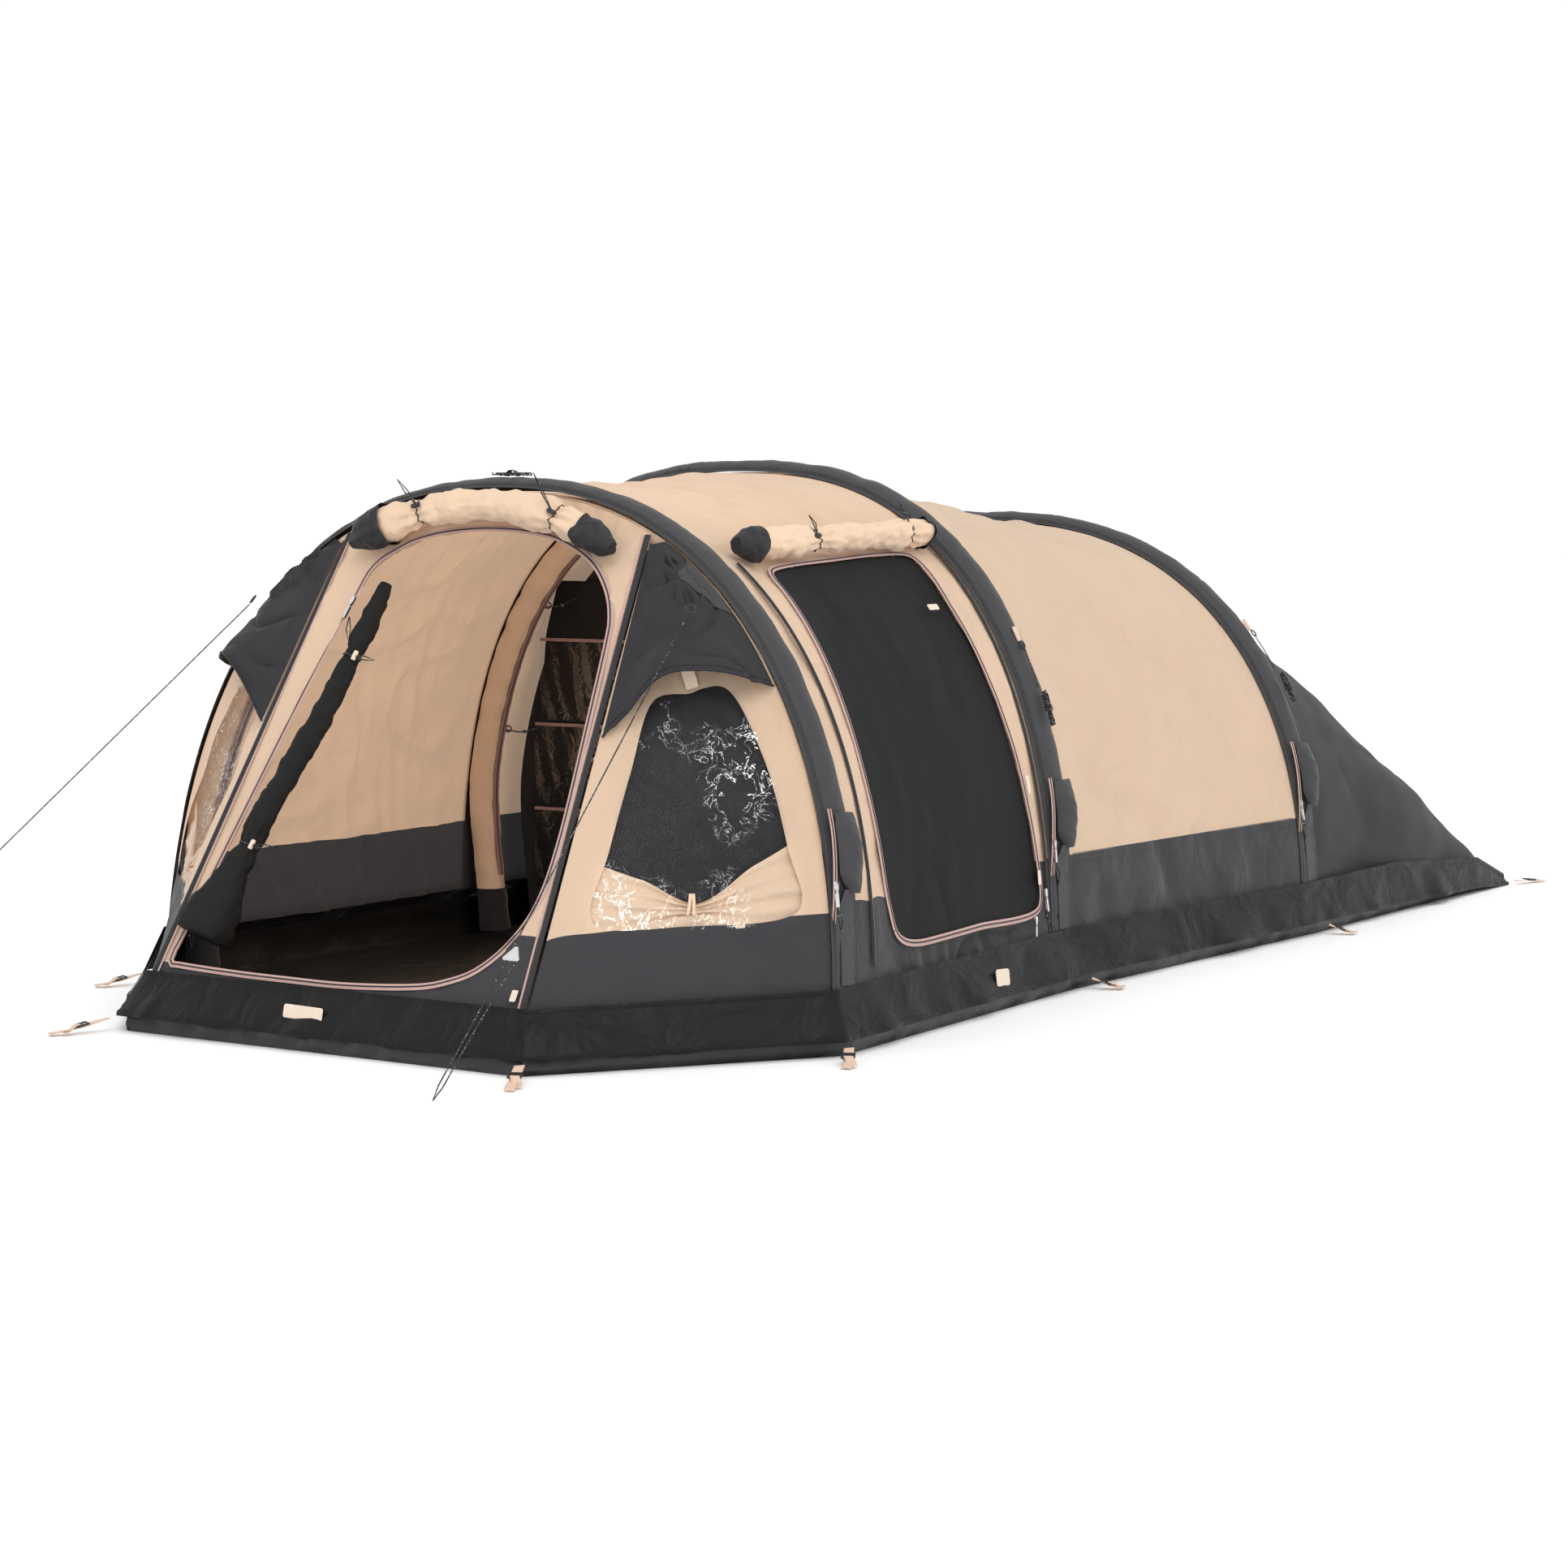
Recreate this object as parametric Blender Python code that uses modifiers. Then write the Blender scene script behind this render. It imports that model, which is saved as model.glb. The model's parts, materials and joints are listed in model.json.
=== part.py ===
# Inflatable tunnel tent: three air-beam arches, a three-facet front bay with an open door,
# a side door, a sloping tail, a bathtub groundsheet and a hung inner tent.
# Metres, +Z up, +Y to the tail, +X to the side with the side door.
import math
import bpy
import bmesh
import numpy as np
from mathutils import Vector, Matrix

# ---------------------------------------------------------------- driving dimensions
# arch: half width at the ground, height of the fly line, roundness exponent, foot y, forward/back lean
ARCHES = {
    "front":  (1.090, 1.372, 2.27, 0.010, 0.080),
    "middle": (1.030, 1.425, 2.52, 1.262, -0.020),
    "rear":   (1.137, 1.270, 2.38, 2.689, 0.010),
}
Y_MID = 1.78187           # arch-foot y of the whole part's centre, so that the part is centred on Y
SHELL = 0.0025             # cloth thickness of the solids
EDGE = 0.0535              # half width of an arch sleeve, where the bay panels stop
BEAM_R = 0.044             # inflated beam radius
BEAM_IN = 0.016            # beam axis inside the fly line
SEAM_Z = 0.36              # height where the light panels meet the dark lower band
SKIRT_Z = 0.153            # height of the skirt seam
HEM_Z = 0.043              # height of the skirt's hem
S_SEAM = 0.14              # arch parameter at SEAM_Z
FRONT_BASE = (0.600, -0.625, 0.137)     # lower right corner of the front panel
FRONT_TOP_X = 0.492                     # where the front panel's edge meets the front arch
TAIL = (1.187, 4.271)                   # rear ground corner
# groundsheet tub, right side, front to tail: base x, y, then top x, y, height
TUB = [(0.628, -0.686, 0.598, -0.628, 0.120), (1.110, -0.030, 1.086, -0.020, 0.120), (1.072, 1.262, 1.026, 1.262, 0.120),
       (1.150, 2.689, 1.132, 2.689, 0.115), (1.160, 4.150, 1.160, 4.150, 0.030)]
WEBBING = 0.025
GUY_D = 0.0035

# ---------------------------------------------------------------- scene set-up
for ob in list(bpy.data.objects):
    bpy.data.objects.remove(ob, do_unlink=True)
parts = bpy.data.collections.new("tunnel_tent")
cutters = bpy.data.collections.new("cutters")
bpy.context.scene.collection.children.link(parts)
bpy.context.scene.collection.children.link(cutters)


def material(name, colour, rough, metal=0.0, alpha=1.0):
    m = bpy.data.materials.new(name)
    m.use_nodes = True
    b = m.node_tree.nodes["Principled BSDF"]
    b.inputs["Base Color"].default_value = (*colour, 1.0)
    b.inputs["Roughness"].default_value = rough
    b.inputs["Metallic"].default_value = metal
    b.inputs["Alpha"].default_value = alpha
    return m


BEIGE = material("polycotton_beige", (0.72, 0.53, 0.37), 0.9)
DARK = material("polycotton_charcoal", (0.055, 0.055, 0.06), 0.85)
FLOOR = material("groundsheet_black", (0.02, 0.02, 0.02), 0.55)
MESH = material("door_mesh_black", (0.02, 0.02, 0.02), 0.8)
PVC = material("clear_pvc", (0.8, 0.82, 0.85), 0.08, 0.0, 0.35)
TPU = material("beam_film", (0.62, 0.62, 0.6), 0.35)
PLASTIC = material("moulded_black", (0.02, 0.02, 0.022), 0.45)
METAL = material("zip_metal", (0.62, 0.62, 0.64), 0.3, 1.0)
WEB = material("webbing_beige", (0.66, 0.47, 0.32), 0.85)
CORD = material("cord_black", (0.025, 0.025, 0.025), 0.8)
INNER = material("inner_cloth", (0.16, 0.15, 0.14), 0.9)


def put(ob, mat, coll=None):
    (coll or parts).objects.link(ob)
    if mat is not None:
        ob.data.materials.clear()
        ob.data.materials.append(mat)
    return ob


def shell(name, verts, faces, mat, thick=SHELL, offset=0.0, origin=(0, 0, 0)):
    """Open surface with Solidify, its origin at a chosen point."""
    o = Vector(origin)
    me = bpy.data.meshes.new(name)
    me.from_pydata([Vector(v) - o for v in verts], [], faces)
    me.update()
    if offset == 0.0:                     # a centred skin only needs one consistent winding
        bm = bmesh.new()
        bm.from_mesh(me)
        bmesh.ops.recalc_face_normals(bm, faces=bm.faces)
        bm.to_mesh(me)
        bm.free()
    ob = bpy.data.objects.new(name, me)
    ob.location = (o.x, o.y - Y_MID, o.z)
    put(ob, mat)
    mod = ob.modifiers.new("cloth", "SOLIDIFY")
    mod.thickness = thick
    mod.offset = offset
    return ob


def grid_faces(ni, nj, close_i=False):
    f = []
    for i in range(ni if close_i else ni - 1):
        for j in range(nj - 1):
            a, b = i * nj + j, ((i + 1) % ni) * nj + j
            f.append((a, b, b + 1, a + 1))
    return f


def grid_shell(name, rows, mat, thick=SHELL, close_i=False, origin=(0, 0, 0), offset=0.0):
    ni, nj = len(rows), len(rows[0])
    verts = [p for row in rows for p in row]
    return shell(name, verts, grid_faces(ni, nj, close_i), mat, thick, offset, origin)


def tube(name, pts, radius, mat, res=2, radii=None, origin=(0, 0, 0)):
    """Round bar on a poly spline with filled caps."""
    cu = bpy.data.curves.new(name, "CURVE")
    cu.dimensions = "3D"
    cu.bevel_depth = radius
    cu.bevel_resolution = res
    cu.use_fill_caps = True
    sp = cu.splines.new("POLY")
    sp.points.add(len(pts) - 1)
    o = Vector(origin)
    for i, p in enumerate(pts):
        q = Vector(p) - o
        sp.points[i].co = (q.x, q.y, q.z, 1.0)
        sp.points[i].radius = 1.0 if radii is None else radii[i]
    ob = bpy.data.objects.new(name, cu)
    ob.location = (o.x, o.y - Y_MID, o.z)
    return put(ob, mat)


def plate(name, outline, thick, frame, mat, holes=(), origin=None):
    """Flat outline extruded to a plate. frame = (origin point, axis u, axis v)."""
    cu = bpy.data.curves.new(name, "CURVE")
    cu.dimensions = "2D"
    cu.fill_mode = "BOTH"
    cu.extrude = thick / 2
    for loop in (outline, *holes):
        sp = cu.splines.new("POLY")
        sp.points.add(len(loop) - 1)
        sp.use_cyclic_u = True
        for i, p in enumerate(loop):
            sp.points[i].co = (p[0], p[1], 0.0, 1.0)
    p0, u, v = Vector(frame[0]), Vector(frame[1]).normalized(), Vector(frame[2])
    n = u.cross(v).normalized()
    v = n.cross(u).normalized()
    ob = bpy.data.objects.new(name, cu)
    m = Matrix((u, v, n)).transposed().to_4x4()
    m.translation = (p0.x, p0.y - Y_MID, p0.z)
    ob.matrix_world = m
    return put(ob, mat)


def cylinder(name, p, axis, radius, height, mat, seg=16, coll=None):
    me = bpy.data.meshes.new(name)
    bm = bmesh.new()
    bmesh.ops.create_cone(bm, cap_ends=True, cap_tris=False, segments=seg, radius1=radius, radius2=radius, depth=height)
    bm.to_mesh(me)
    bm.free()
    ob = bpy.data.objects.new(name, me)
    q = Vector(axis).normalized().to_track_quat("Z", "Y")
    m = q.to_matrix().to_4x4()
    m.translation = (p[0], p[1] - Y_MID, p[2])
    ob.matrix_world = m
    return put(ob, mat, coll)


# ---------------------------------------------------------------- arch curves
def arch_table(key):
    w, h, n, y0, lean = ARCHES[key]
    k = math.sqrt(1 + lean * lean)
    th = np.linspace(0, math.pi / 2, 4001)
    x = w * np.cos(th).clip(0) ** (2 / n)
    z = h * np.sin(th).clip(0) ** (2 / n)
    arc = np.concatenate([[0], np.cumsum(np.hypot(np.diff(x), np.diff(z) * k))])
    t1 = math.asin((SEAM_Z / h) ** (n / 2))
    a1 = np.interp(t1, th, arc)
    s = np.linspace(0, 0.5, 501)
    out = np.where(s <= S_SEAM,
                   np.arcsin((SEAM_Z * s / S_SEAM / h).clip(0, 1) ** (n / 2)),
                   np.interp(a1 + (arc[-1] - a1) * (s - S_SEAM) / (0.5 - S_SEAM), arc, th))
    return s, out


TABLE = {k: arch_table(k) for k in ARCHES}


def arch(key, s, r=0.0, t=0.0):
    """Point on an arch: s 0..1 from the right foot over the top, r outward, t along the tent."""
    w, h, n, y0, lean = ARCHES[key]
    k = math.sqrt(1 + lean * lean)
    left = s > 0.5
    sr = 1 - s if left else s
    th = float(np.interp(sr, *TABLE[key]))

    def at(a):
        return w * max(math.cos(a), 0) ** (2 / n), h * max(math.sin(a), 0) ** (2 / n)

    x, z = at(th)
    e = 2e-3
    xa, za = at(max(th - e, 0))
    xb, zb = at(min(th + e, math.pi / 2))
    tx, tz = xb - xa, (zb - za) * k
    q = math.hypot(tx, tz)
    nx, nz = tz / q, -tx / q
    x, z = x + r * nx, z + r * nz / k
    y = y0 + lean * z
    if left:
        x = -x
    return Vector((x, y + t / k, z - t * lean / k))


def arch_dirs(key, s):
    """Outward normal, tangent towards the top and the tent-wise direction at s on the right side."""
    p0, p1 = arch(key, s - 0.004), arch(key, s + 0.004)
    tan = (p1 - p0).normalized()
    nor = (arch(key, s, 0.01) - arch(key, s)).normalized()
    return nor, tan, (arch(key, s, 0, 0.01) - arch(key, s)).normalized()


def s_at_z(key, z):
    lo, hi = 0.0, 0.5
    for _ in range(40):
        m = (lo + hi) / 2
        if arch(key, m).z < z:
            lo = m
        else:
            hi = m
    return (lo + hi) / 2


def s_at_x(key, x):
    lo, hi = 0.0, 0.5
    for _ in range(40):
        m = (lo + hi) / 2
        if arch(key, m).x > x:
            lo = m
        else:
            hi = m
    return (lo + hi) / 2


def foot_shift(z):
    """The beam and its sleeve lean inboard towards the foot, inside the groundsheet's wall."""
    q = min(max((0.55 - z) / 0.55, 0.0), 1.0)
    return -0.058 * q * q * (3 - 2 * q)


def bay(a, b, u, s):
    p, q = arch(a, s, 0.0, EDGE), arch(b, s, 0.0, -EDGE)
    return p.lerp(q, u)


# ---------------------------------------------------------------- beams and sleeves
N_ARCH = 22
for key in ARCHES:
    s_list = [0.006 + (0.988) * i / N_ARCH for i in range(N_ARCH + 1)]
    pts = [arch(key, s, foot_shift(arch(key, s).z) - BEAM_IN) for s in s_list]
    tube("air_beam_" + key, pts, BEAM_R, TPU)
    rows = []
    for q in range(10):
        f = 2 * math.pi * q / 10
        r = (0.034 if math.sin(f) >= 0 else 0.066) * math.sin(f)
        t = 0.052 * math.cos(f)
        rows.append([arch(key, s, r + foot_shift(arch(key, s).z), t) for s in
                     [0.009 + 0.982 * i / N_ARCH for i in range(N_ARCH + 1)]])
    sleeve = grid_shell("arch_sleeve_" + key, rows, DARK, 0.002, close_i=True)
    # opening for the valve on the right-hand leg
    sv = s_at_z(key, 0.475)
    nor, tan, tw = arch_dirs(key, sv)
    pv = arch(key, sv, foot_shift(0.475))
    cut = cylinder("cut_valve_" + key, pv + nor * 0.036, nor, 0.021, 0.03, None, 16, cutters)
    cut.hide_render = True
    cut.display_type = "WIRE"
    mod = sleeve.modifiers.new("valve_hole", "BOOLEAN")
    mod.operation = "DIFFERENCE"
    mod.object = cut

# ---------------------------------------------------------------- valves, caps and their covers
for key in ARCHES:
    sv = s_at_z(key, 0.475)
    nor, tan, tw = arch_dirs(key, sv)
    pv = arch(key, sv, foot_shift(0.475) - BEAM_IN)           # on the beam's axis
    cylinder("valve_" + key, pv + nor * (0.0450 + 0.008), nor, 0.017, 0.016, PLASTIC, 14)
    cylinder("valve_cap_" + key, pv + nor * (0.0620 + 0.005), nor, 0.014, 0.010, PLASTIC, 12)
    z0, z1 = 0.385, 0.560
    hinge = arch(key, s_at_z(key, 0.475), foot_shift(0.475) + 0.041, 0.050)
    rows = []
    for i in range(6):
        a = i / 5
        row = []
        for j in range(6):
            b = j / 5
            z = z0 + (z1 - z0) * b
            s = s_at_z(key, z)
            r = 0.039 + 0.040 * (math.sin(math.pi * a) ** 0.6) * (math.sin(math.pi * (0.08 + 0.84 * b)) ** 0.6)
            row.append(arch(key, s, foot_shift(z) + r, -0.036 + 0.086 * a))
        rows.append(row)
    grid_shell("valve_cover_" + key, rows, DARK, 0.002, origin=hinge)


# ---------------------------------------------------------------- front panel, door opening and facets
s_top = s_at_x("front", FRONT_TOP_X)
P_BASE = Vector(FRONT_BASE)
P_TOP = arch("front", s_top, 0, -EDGE)


def front(x, v):
    """Front panel surface: x -1..1 across, v 0..1 from the skirt seam to the arch."""
    b = Vector((FRONT_BASE[0] * x, FRONT_BASE[1], FRONT_BASE[2]))
    t = arch("front", 0.5 - (0.5 - s_top) * abs(x), 0, -EDGE)
    if x < 0:
        t.x = -t.x
    return b.lerp(t, v)


def facet_edges(z):
    k = (z - P_BASE.z) / (P_TOP.z - P_BASE.z)
    return P_BASE.lerp(P_TOP, k), arch("front", s_at_z("front", z), 0, -EDGE)


def facet(w, z, side=1, out=0.0, gap=0.004):
    e1, e2 = facet_edges(z)
    d = e2 - e1
    n = Vector((d.y, -d.x, 0)).normalized()
    k = gap / d.length
    p = e1 + d * (k + (1 - 2 * k) * w) + n * out
    p.x *= side
    return p


def star(points, centre, f):
    """Distance from centre to a closed outline in direction f."""
    dx, dy = math.cos(f), math.sin(f)
    best = 0.0
    n = len(points)
    for i in range(n):
        ax, ay = points[i][0] - centre[0], points[i][1] - centre[1]
        bx, by = points[(i + 1) % n][0] - centre[0], points[(i + 1) % n][1] - centre[1]
        ex, ey = bx - ax, by - ay
        det = dx * (-ey) + dy * ex
        if abs(det) < 1e-12:
            continue
        r = (ax * (-ey) + ay * ex) / det
        m = (dx * ay - dy * ax) / det
        if r > 0 and -1e-9 <= m <= 1 + 1e-9:
            best = max(best, r)
    return best


def ring_angles(centre, box, n):
    x0, x1, y0, y1 = box
    fs = [2 * math.pi * i / n for i in range(n)]
    for cx, cy in ((x0, y0), (x1, y0), (x1, y1), (x0, y1)):
        a = math.atan2(cy - centre[1], cx - centre[0]) % (2 * math.pi)
        i = min(range(len(fs)), key=lambda k: abs((fs[k] - a + math.pi) % (2 * math.pi) - math.pi))
        fs[i] = a
    return sorted(fs)


def box_ray(centre, box, f):
    x0, x1, y0, y1 = box
    dx, dy = math.cos(f), math.sin(f)
    r = 1e9
    if dx > 1e-9:
        r = min(r, (x1 - centre[0]) / dx)
    if dx < -1e-9:
        r = min(r, (x0 - centre[0]) / dx)
    if dy > 1e-9:
        r = min(r, (y1 - centre[1]) / dy)
    if dy < -1e-9:
        r = min(r, (y0 - centre[1]) / dy)
    return r


def holed(outline, centre, box, n, rings, place):
    """Surface between a hole outline and a rectangle, in parameter space, mapped by place."""
    fs = ring_angles(centre, box, n)
    rows = []
    for f in fs:
        ri, ro = star(outline, centre, f), box_ray(centre, box, f)
        rows.append([place(centre[0] + math.cos(f) * (ri + (ro - ri) * k / rings),
                           centre[1] + math.sin(f) * (ri + (ro - ri) * k / rings)) for k in range(rings + 1)])
    return rows


def pane(name, outline, centre, fs, place, mat, thick, inset, rings=2):
    n = len(fs)
    verts = [place(*centre)]
    for k in range(1, rings + 1):
        for f in fs:
            r = star(outline, centre, f) * (1 - inset) * k / rings
            verts.append(place(centre[0] + math.cos(f) * r, centre[1] + math.sin(f) * r))
    faces = []
    for i in range(n):
        j = (i + 1) % n
        faces.append((0, 1 + i, 1 + j))
        for k in range(rings - 1):
            a = 1 + k * n
            faces.append((a + i, a + n + i, a + n + j, a + j))
    return shell(name, verts, faces, mat, thick)


DOOR = [(-0.915, 0.035), (-0.905, 0.10), (-0.855, 0.35), (-0.790, 0.60), (-0.700, 0.80), (-0.655, 0.862), (-0.520, 0.888),
        (-0.376, 0.903), (-0.025, 0.913), (0.369, 0.911), (0.544, 0.901), (0.713, 0.878), (0.825, 0.840), (0.885, 0.795),
        (0.905, 0.740), (0.925, 0.551), (0.940, 0.344), (0.915, 0.215), (0.832, 0.133), (0.706, 0.074), (0.565, 0.045),
        (0.404, 0.030), (0.067, 0.020), (-0.256, 0.020), (-0.544, 0.022), (-0.85, 0.028)]
rows = holed(DOOR, (0.0, 0.45), (-0.993, 0.993, 0.0, 0.992), 36, 2, front)
grid_shell("front_panel", rows, BEIGE, close_i=True)

WINDOW = [(0.175, 0.335), (0.180, 0.50), (0.215, 0.68), (0.275, 0.842), (0.460, 0.868), (0.665, 0.875), (0.745, 0.72),
          (0.800, 0.504), (0.815, 0.345), (0.480, 0.322)]
for side, word in ((1, "right"), (-1, "left")):
    rows = holed(WINDOW, (0.48, 0.60), (0.0, 1.0, 0.145, 1.225), 28, 2, lambda a, b: facet(a, b, side))
    grid_shell("facet_" + word, rows, BEIGE, close_i=True)
    pane("facet_window_" + word, WINDOW, (0.48, 0.60), ring_angles((0.48, 0.60), (0.0, 1.0, 0.145, 1.225), 28),
         lambda a, b: facet(a, b, side), PVC, 0.001, 0.012)


# awning over each facet window
def hood(a, b, side=1):
    """a 0..1 from the piping to the arch, b 0..1 from the top to the free edge."""
    low = 0.770 + 0.165 * math.sin(math.pi * min(a, 0.5)) ** 0.8 - 0.045 * (max(0.0, a - 0.5) / 0.5) ** 2
    z = 1.240 + (low - 1.240) * b
    out = 0.007 + 0.125 * (math.sin(math.pi * a) ** 0.75) * (0.25 + 0.75 * b) * b ** 0.5
    return facet(0.012 + 0.976 * a, z, side, out)


for side, word in ((1, "right"), (-1, "left")):
    rows = [[hood(i / 8, j / 5, side) for j in range(6)] for i in range(9)]
    grid_shell("hood_" + word, rows, DARK, 0.002)

# ---------------------------------------------------------------- bay panels
S0 = s_at_z("front", 0.150)
SIDE_DOOR = [(0.185, 0.108), (0.155, 0.150), (0.143, 0.207), (0.148, 0.250), (0.162, 0.296), (0.170, 0.322), (0.190, 0.343),
             (0.450, 0.345), (0.832, 0.341), (0.850, 0.300), (0.866, 0.256), (0.882, 0.225), (0.900, 0.191), (0.922, 0.094), (0.600, 0.091),
             (0.317, 0.090), (0.230, 0.095)]


def bay1(u, s):
    return bay("front", "middle", u, s)


S_SPLIT = 0.385
door_c = (0.45, 0.215)
door_box = (0.0, 1.0, S0, S_SPLIT)
fs = ring_angles(door_c, door_box, 32)
verts, faces, index = [], [], {}


def vid(u, s):
    k = (round(u, 5), round(s, 5))
    if k not in index:
        index[k] = len(verts)
        verts.append(bay1(u, s))
    return index[k]


top_u = []
for i, f in enumerate(fs):
    g = fs[(i + 1) % len(fs)]
    for k in range(2):
        quad = []
        for ff, kk in ((f, k), (f, k + 1), (g, k + 1), (g, k)):
            ri, ro = star(SIDE_DOOR, door_c, ff), box_ray(door_c, door_box, ff)
            rr = ri + (ro - ri) * kk / 2
            quad.append((door_c[0] + math.cos(ff) * rr, door_c[1] + math.sin(ff) * rr))
        faces.append(tuple(vid(*q) for q in quad))
    ro = box_ray(door_c, door_box, f)
    u, s = door_c[0] + math.cos(f) * ro, door_c[1] + math.sin(f) * ro
    if abs(s - S_SPLIT) < 1e-6:
        top_u.append(u)
top_u = sorted(set(round(u, 5) for u in top_u))
s_rows = [S_SPLIT + (1 - S0 - S_SPLIT) * i / 15 for i in range(16)]
for i in range(15):
    for j in range(len(top_u) - 1):
        faces.append((vid(top_u[j], s_rows[i]), vid(top_u[j], s_rows[i + 1]), vid(top_u[j + 1], s_rows[i + 1]), vid(top_u[j + 1], s_rows[i])))
shell("fly_bay_front", verts, faces, BEIGE)
pane("side_door_mesh", SIDE_DOOR, door_c, fs, bay1, MESH, 0.0015, 0.010)

S0B = s_at_z("middle", 0.150)
rows = [[bay("middle", "rear", u / 3, S0B + (1 - 2 * S0B) * j / 24) for j in range(25)] for u in range(4)]
grid_shell("fly_bay_rear", rows, BEIGE)


# ---------------------------------------------------------------- tail panel
def tail_end(s):
    """Where each cloth line of the tail comes down: the sides fan into the ground corners."""
    q = (s - S0) / (1 - 2 * S0)
    if q < 0.30:
        x = TAIL[0] - 0.030 * q / 0.30
    elif q > 0.70:
        x = -(TAIL[0] - 0.030 * (1 - q) / 0.30)
    else:
        x = (TAIL[0] - 0.030) * (1 - 2 * (q - 0.30) / 0.40)
    return Vector((x, TAIL[1], 0.006))


def tail(s, v):
    p = arch("rear", s, 0.0, EDGE + 0.003).lerp(tail_end(s), v)
    q = abs(2 * (s - 0.5))
    p.z += 0.05 * math.sin(math.pi * v) * max(0.0, (q - 0.72) / 0.28)
    return p


S0C = s_at_z("rear", 0.150)
rows = [[tail(S0C + (1 - 2 * S0C) * j / 26, v / 4) for j in range(27)] for v in range(5)]
grid_shell("tail_panel", rows, DARK)

# ---------------------------------------------------------------- skirt and groundsheet
SKIRT_TOP = [(1.178, 4.245, 0.030), (1.181, 3.98, 0.112), (1.163, 3.30, 0.158), (1.143, 2.689, SKIRT_Z), (1.036, 1.262, SKIRT_Z),
             (1.095, -0.045, SKIRT_Z), (0.609, -0.634, 0.142)]
SKIRT_HEM = [(1.194, 4.262, 0.004), (1.200, 3.98, 0.022), (1.190, 3.30, 0.036), (1.180, 2.689, HEM_Z), (1.092, 1.262, HEM_Z),
             (1.138, -0.062, HEM_Z), (0.640, -0.703, HEM_Z)]
OUT = 0.005                                                    # skirt outside the panels it hangs over
top = [Vector(p) for p in SKIRT_TOP]
hem = [Vector(p) for p in SKIRT_HEM]
for lst in (top, hem):
    for i, p in enumerate(lst):
        p.x += OUT
        if i == len(lst) - 1:
            p.y -= OUT
            p.x -= OUT / 2
mir = Vector((-1, 1, 1))
top += [p * mir for p in reversed(top)]
hem += [p * mir for p in reversed(hem)]
rows = [top, [a.lerp(b, 0.5) + Vector((0, 0, 0.002)) for a, b in zip(top, hem)], hem]
grid_shell("skirt", rows, DARK, 0.002)

verts, faces = [], []
st = TUB
for x0, y0, x1, y1, h in st:
    for sx in (-1, 1):
        verts.append(Vector((sx * x0, y0, 0.0)))
        verts.append(Vector((sx * x1, y1, h)))
for i in range(len(st) - 1):
    a, b = 4 * i, 4 * (i + 1)
    faces.append((a, b, b + 2, a + 2))              # floor, wound to face down
    faces.append((a + 1, b + 1, b, a))              # left wall
    faces.append((a + 2, b + 2, b + 3, a + 3))      # right wall
faces.append((0, 2, 3, 1))
e = 4 * (len(st) - 1)
faces.append((e + 1, e + 3, e + 2, e))
shell("groundsheet", verts, faces, FLOOR, 0.0025, -1.0)

# ---------------------------------------------------------------- rolled doors
def front_out(x, v, out):
    d1 = front(min(x + 0.02, 1), v) - front(max(x - 0.02, -1), v)
    d2 = front(x, min(v + 0.02, 1)) - front(x, v - 0.02)
    n = d1.cross(d2).normalized()
    return front(x, v) + n * out


pts = []
for i in range(15):
    q = -1 + 2 * i / 14
    pts.append(front_out(0.03 + 0.80 * q, 0.948 - 0.035 * q * q, 0.050))
tube("front_door_roll", pts, 0.038, BEIGE, radii=[0.8] + [1.0] * 13 + [0.8])
# the lower half swings forward into the doorway, clear of the front room's floor
pts = [front_out(-0.600 - 0.225 * i / 12, 0.835 - 0.745 * i / 12, -0.034 + 0.028 * min(1, max(0, (i - 4) / 4))) for i in range(13)]
tube("mesh_door_roll", pts, 0.020, MESH, radii=[0.8 + 0.5 * i / 12 for i in range(13)])


def bay_out(a, b, u, s, out):
    d1 = bay(a, b, min(u + 0.02, 1), s) - bay(a, b, max(u - 0.02, 0), s)
    d2 = bay(a, b, u, s + 0.004) - bay(a, b, u, s - 0.004)
    n = d1.cross(d2).normalized()
    if n.x < 0:
        n = -n
    return bay(a, b, u, s) + n * out


pts = [bay_out("front", "middle", 0.080 + 0.880 * i / 10, 0.358 - 0.008 * i / 10, 0.044) for i in range(11)]
tube("side_door_roll", pts, 0.034, BEIGE, radii=[0.85] + [1.0] * 9 + [0.85])

# ---------------------------------------------------------------- inner tent
def ring_pts(key, r, t, n, base):
    s0 = s_at_z(key, base)
    out = []
    for j in range(n + 1):
        s = s0 + (1 - 2 * s0) * j / n
        out.append(arch(key, s, r + foot_shift(arch(key, s).z), t))
    return out


NI = 16
rA = ring_pts("middle", -0.090, 0.100, NI, 0.02)
rB = ring_pts("rear", -0.120, -0.10, NI, 0.02)
rC = [Vector((p.x * 0.93, 3.38 - 0.10 * p.z, 0.016 + (p.z - 0.016) * 0.47)) for p in rB]
rows = [rA, [a.lerp(b, 0.5) for a, b in zip(rA, rB)], rB, rC]
nj = NI + 1
verts = [p for row in rows for p in row]
faces = grid_faces(4, nj)
base = 3 * nj
for j in range(NI // 2):                                        # rear wall, in strips across
    if j < NI // 2 - 1:
        faces.append((base + j, base + j + 1, base + NI - j - 1, base + NI - j))
    else:
        faces.append((base + j, base + j + 1, base + NI - j))
for i in range(3):                                              # floor of the cabin
    faces.append((i * nj, (i + 1) * nj, (i + 1) * nj + NI, i * nj + NI))
shell("inner_tent", verts, faces, INNER)

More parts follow.
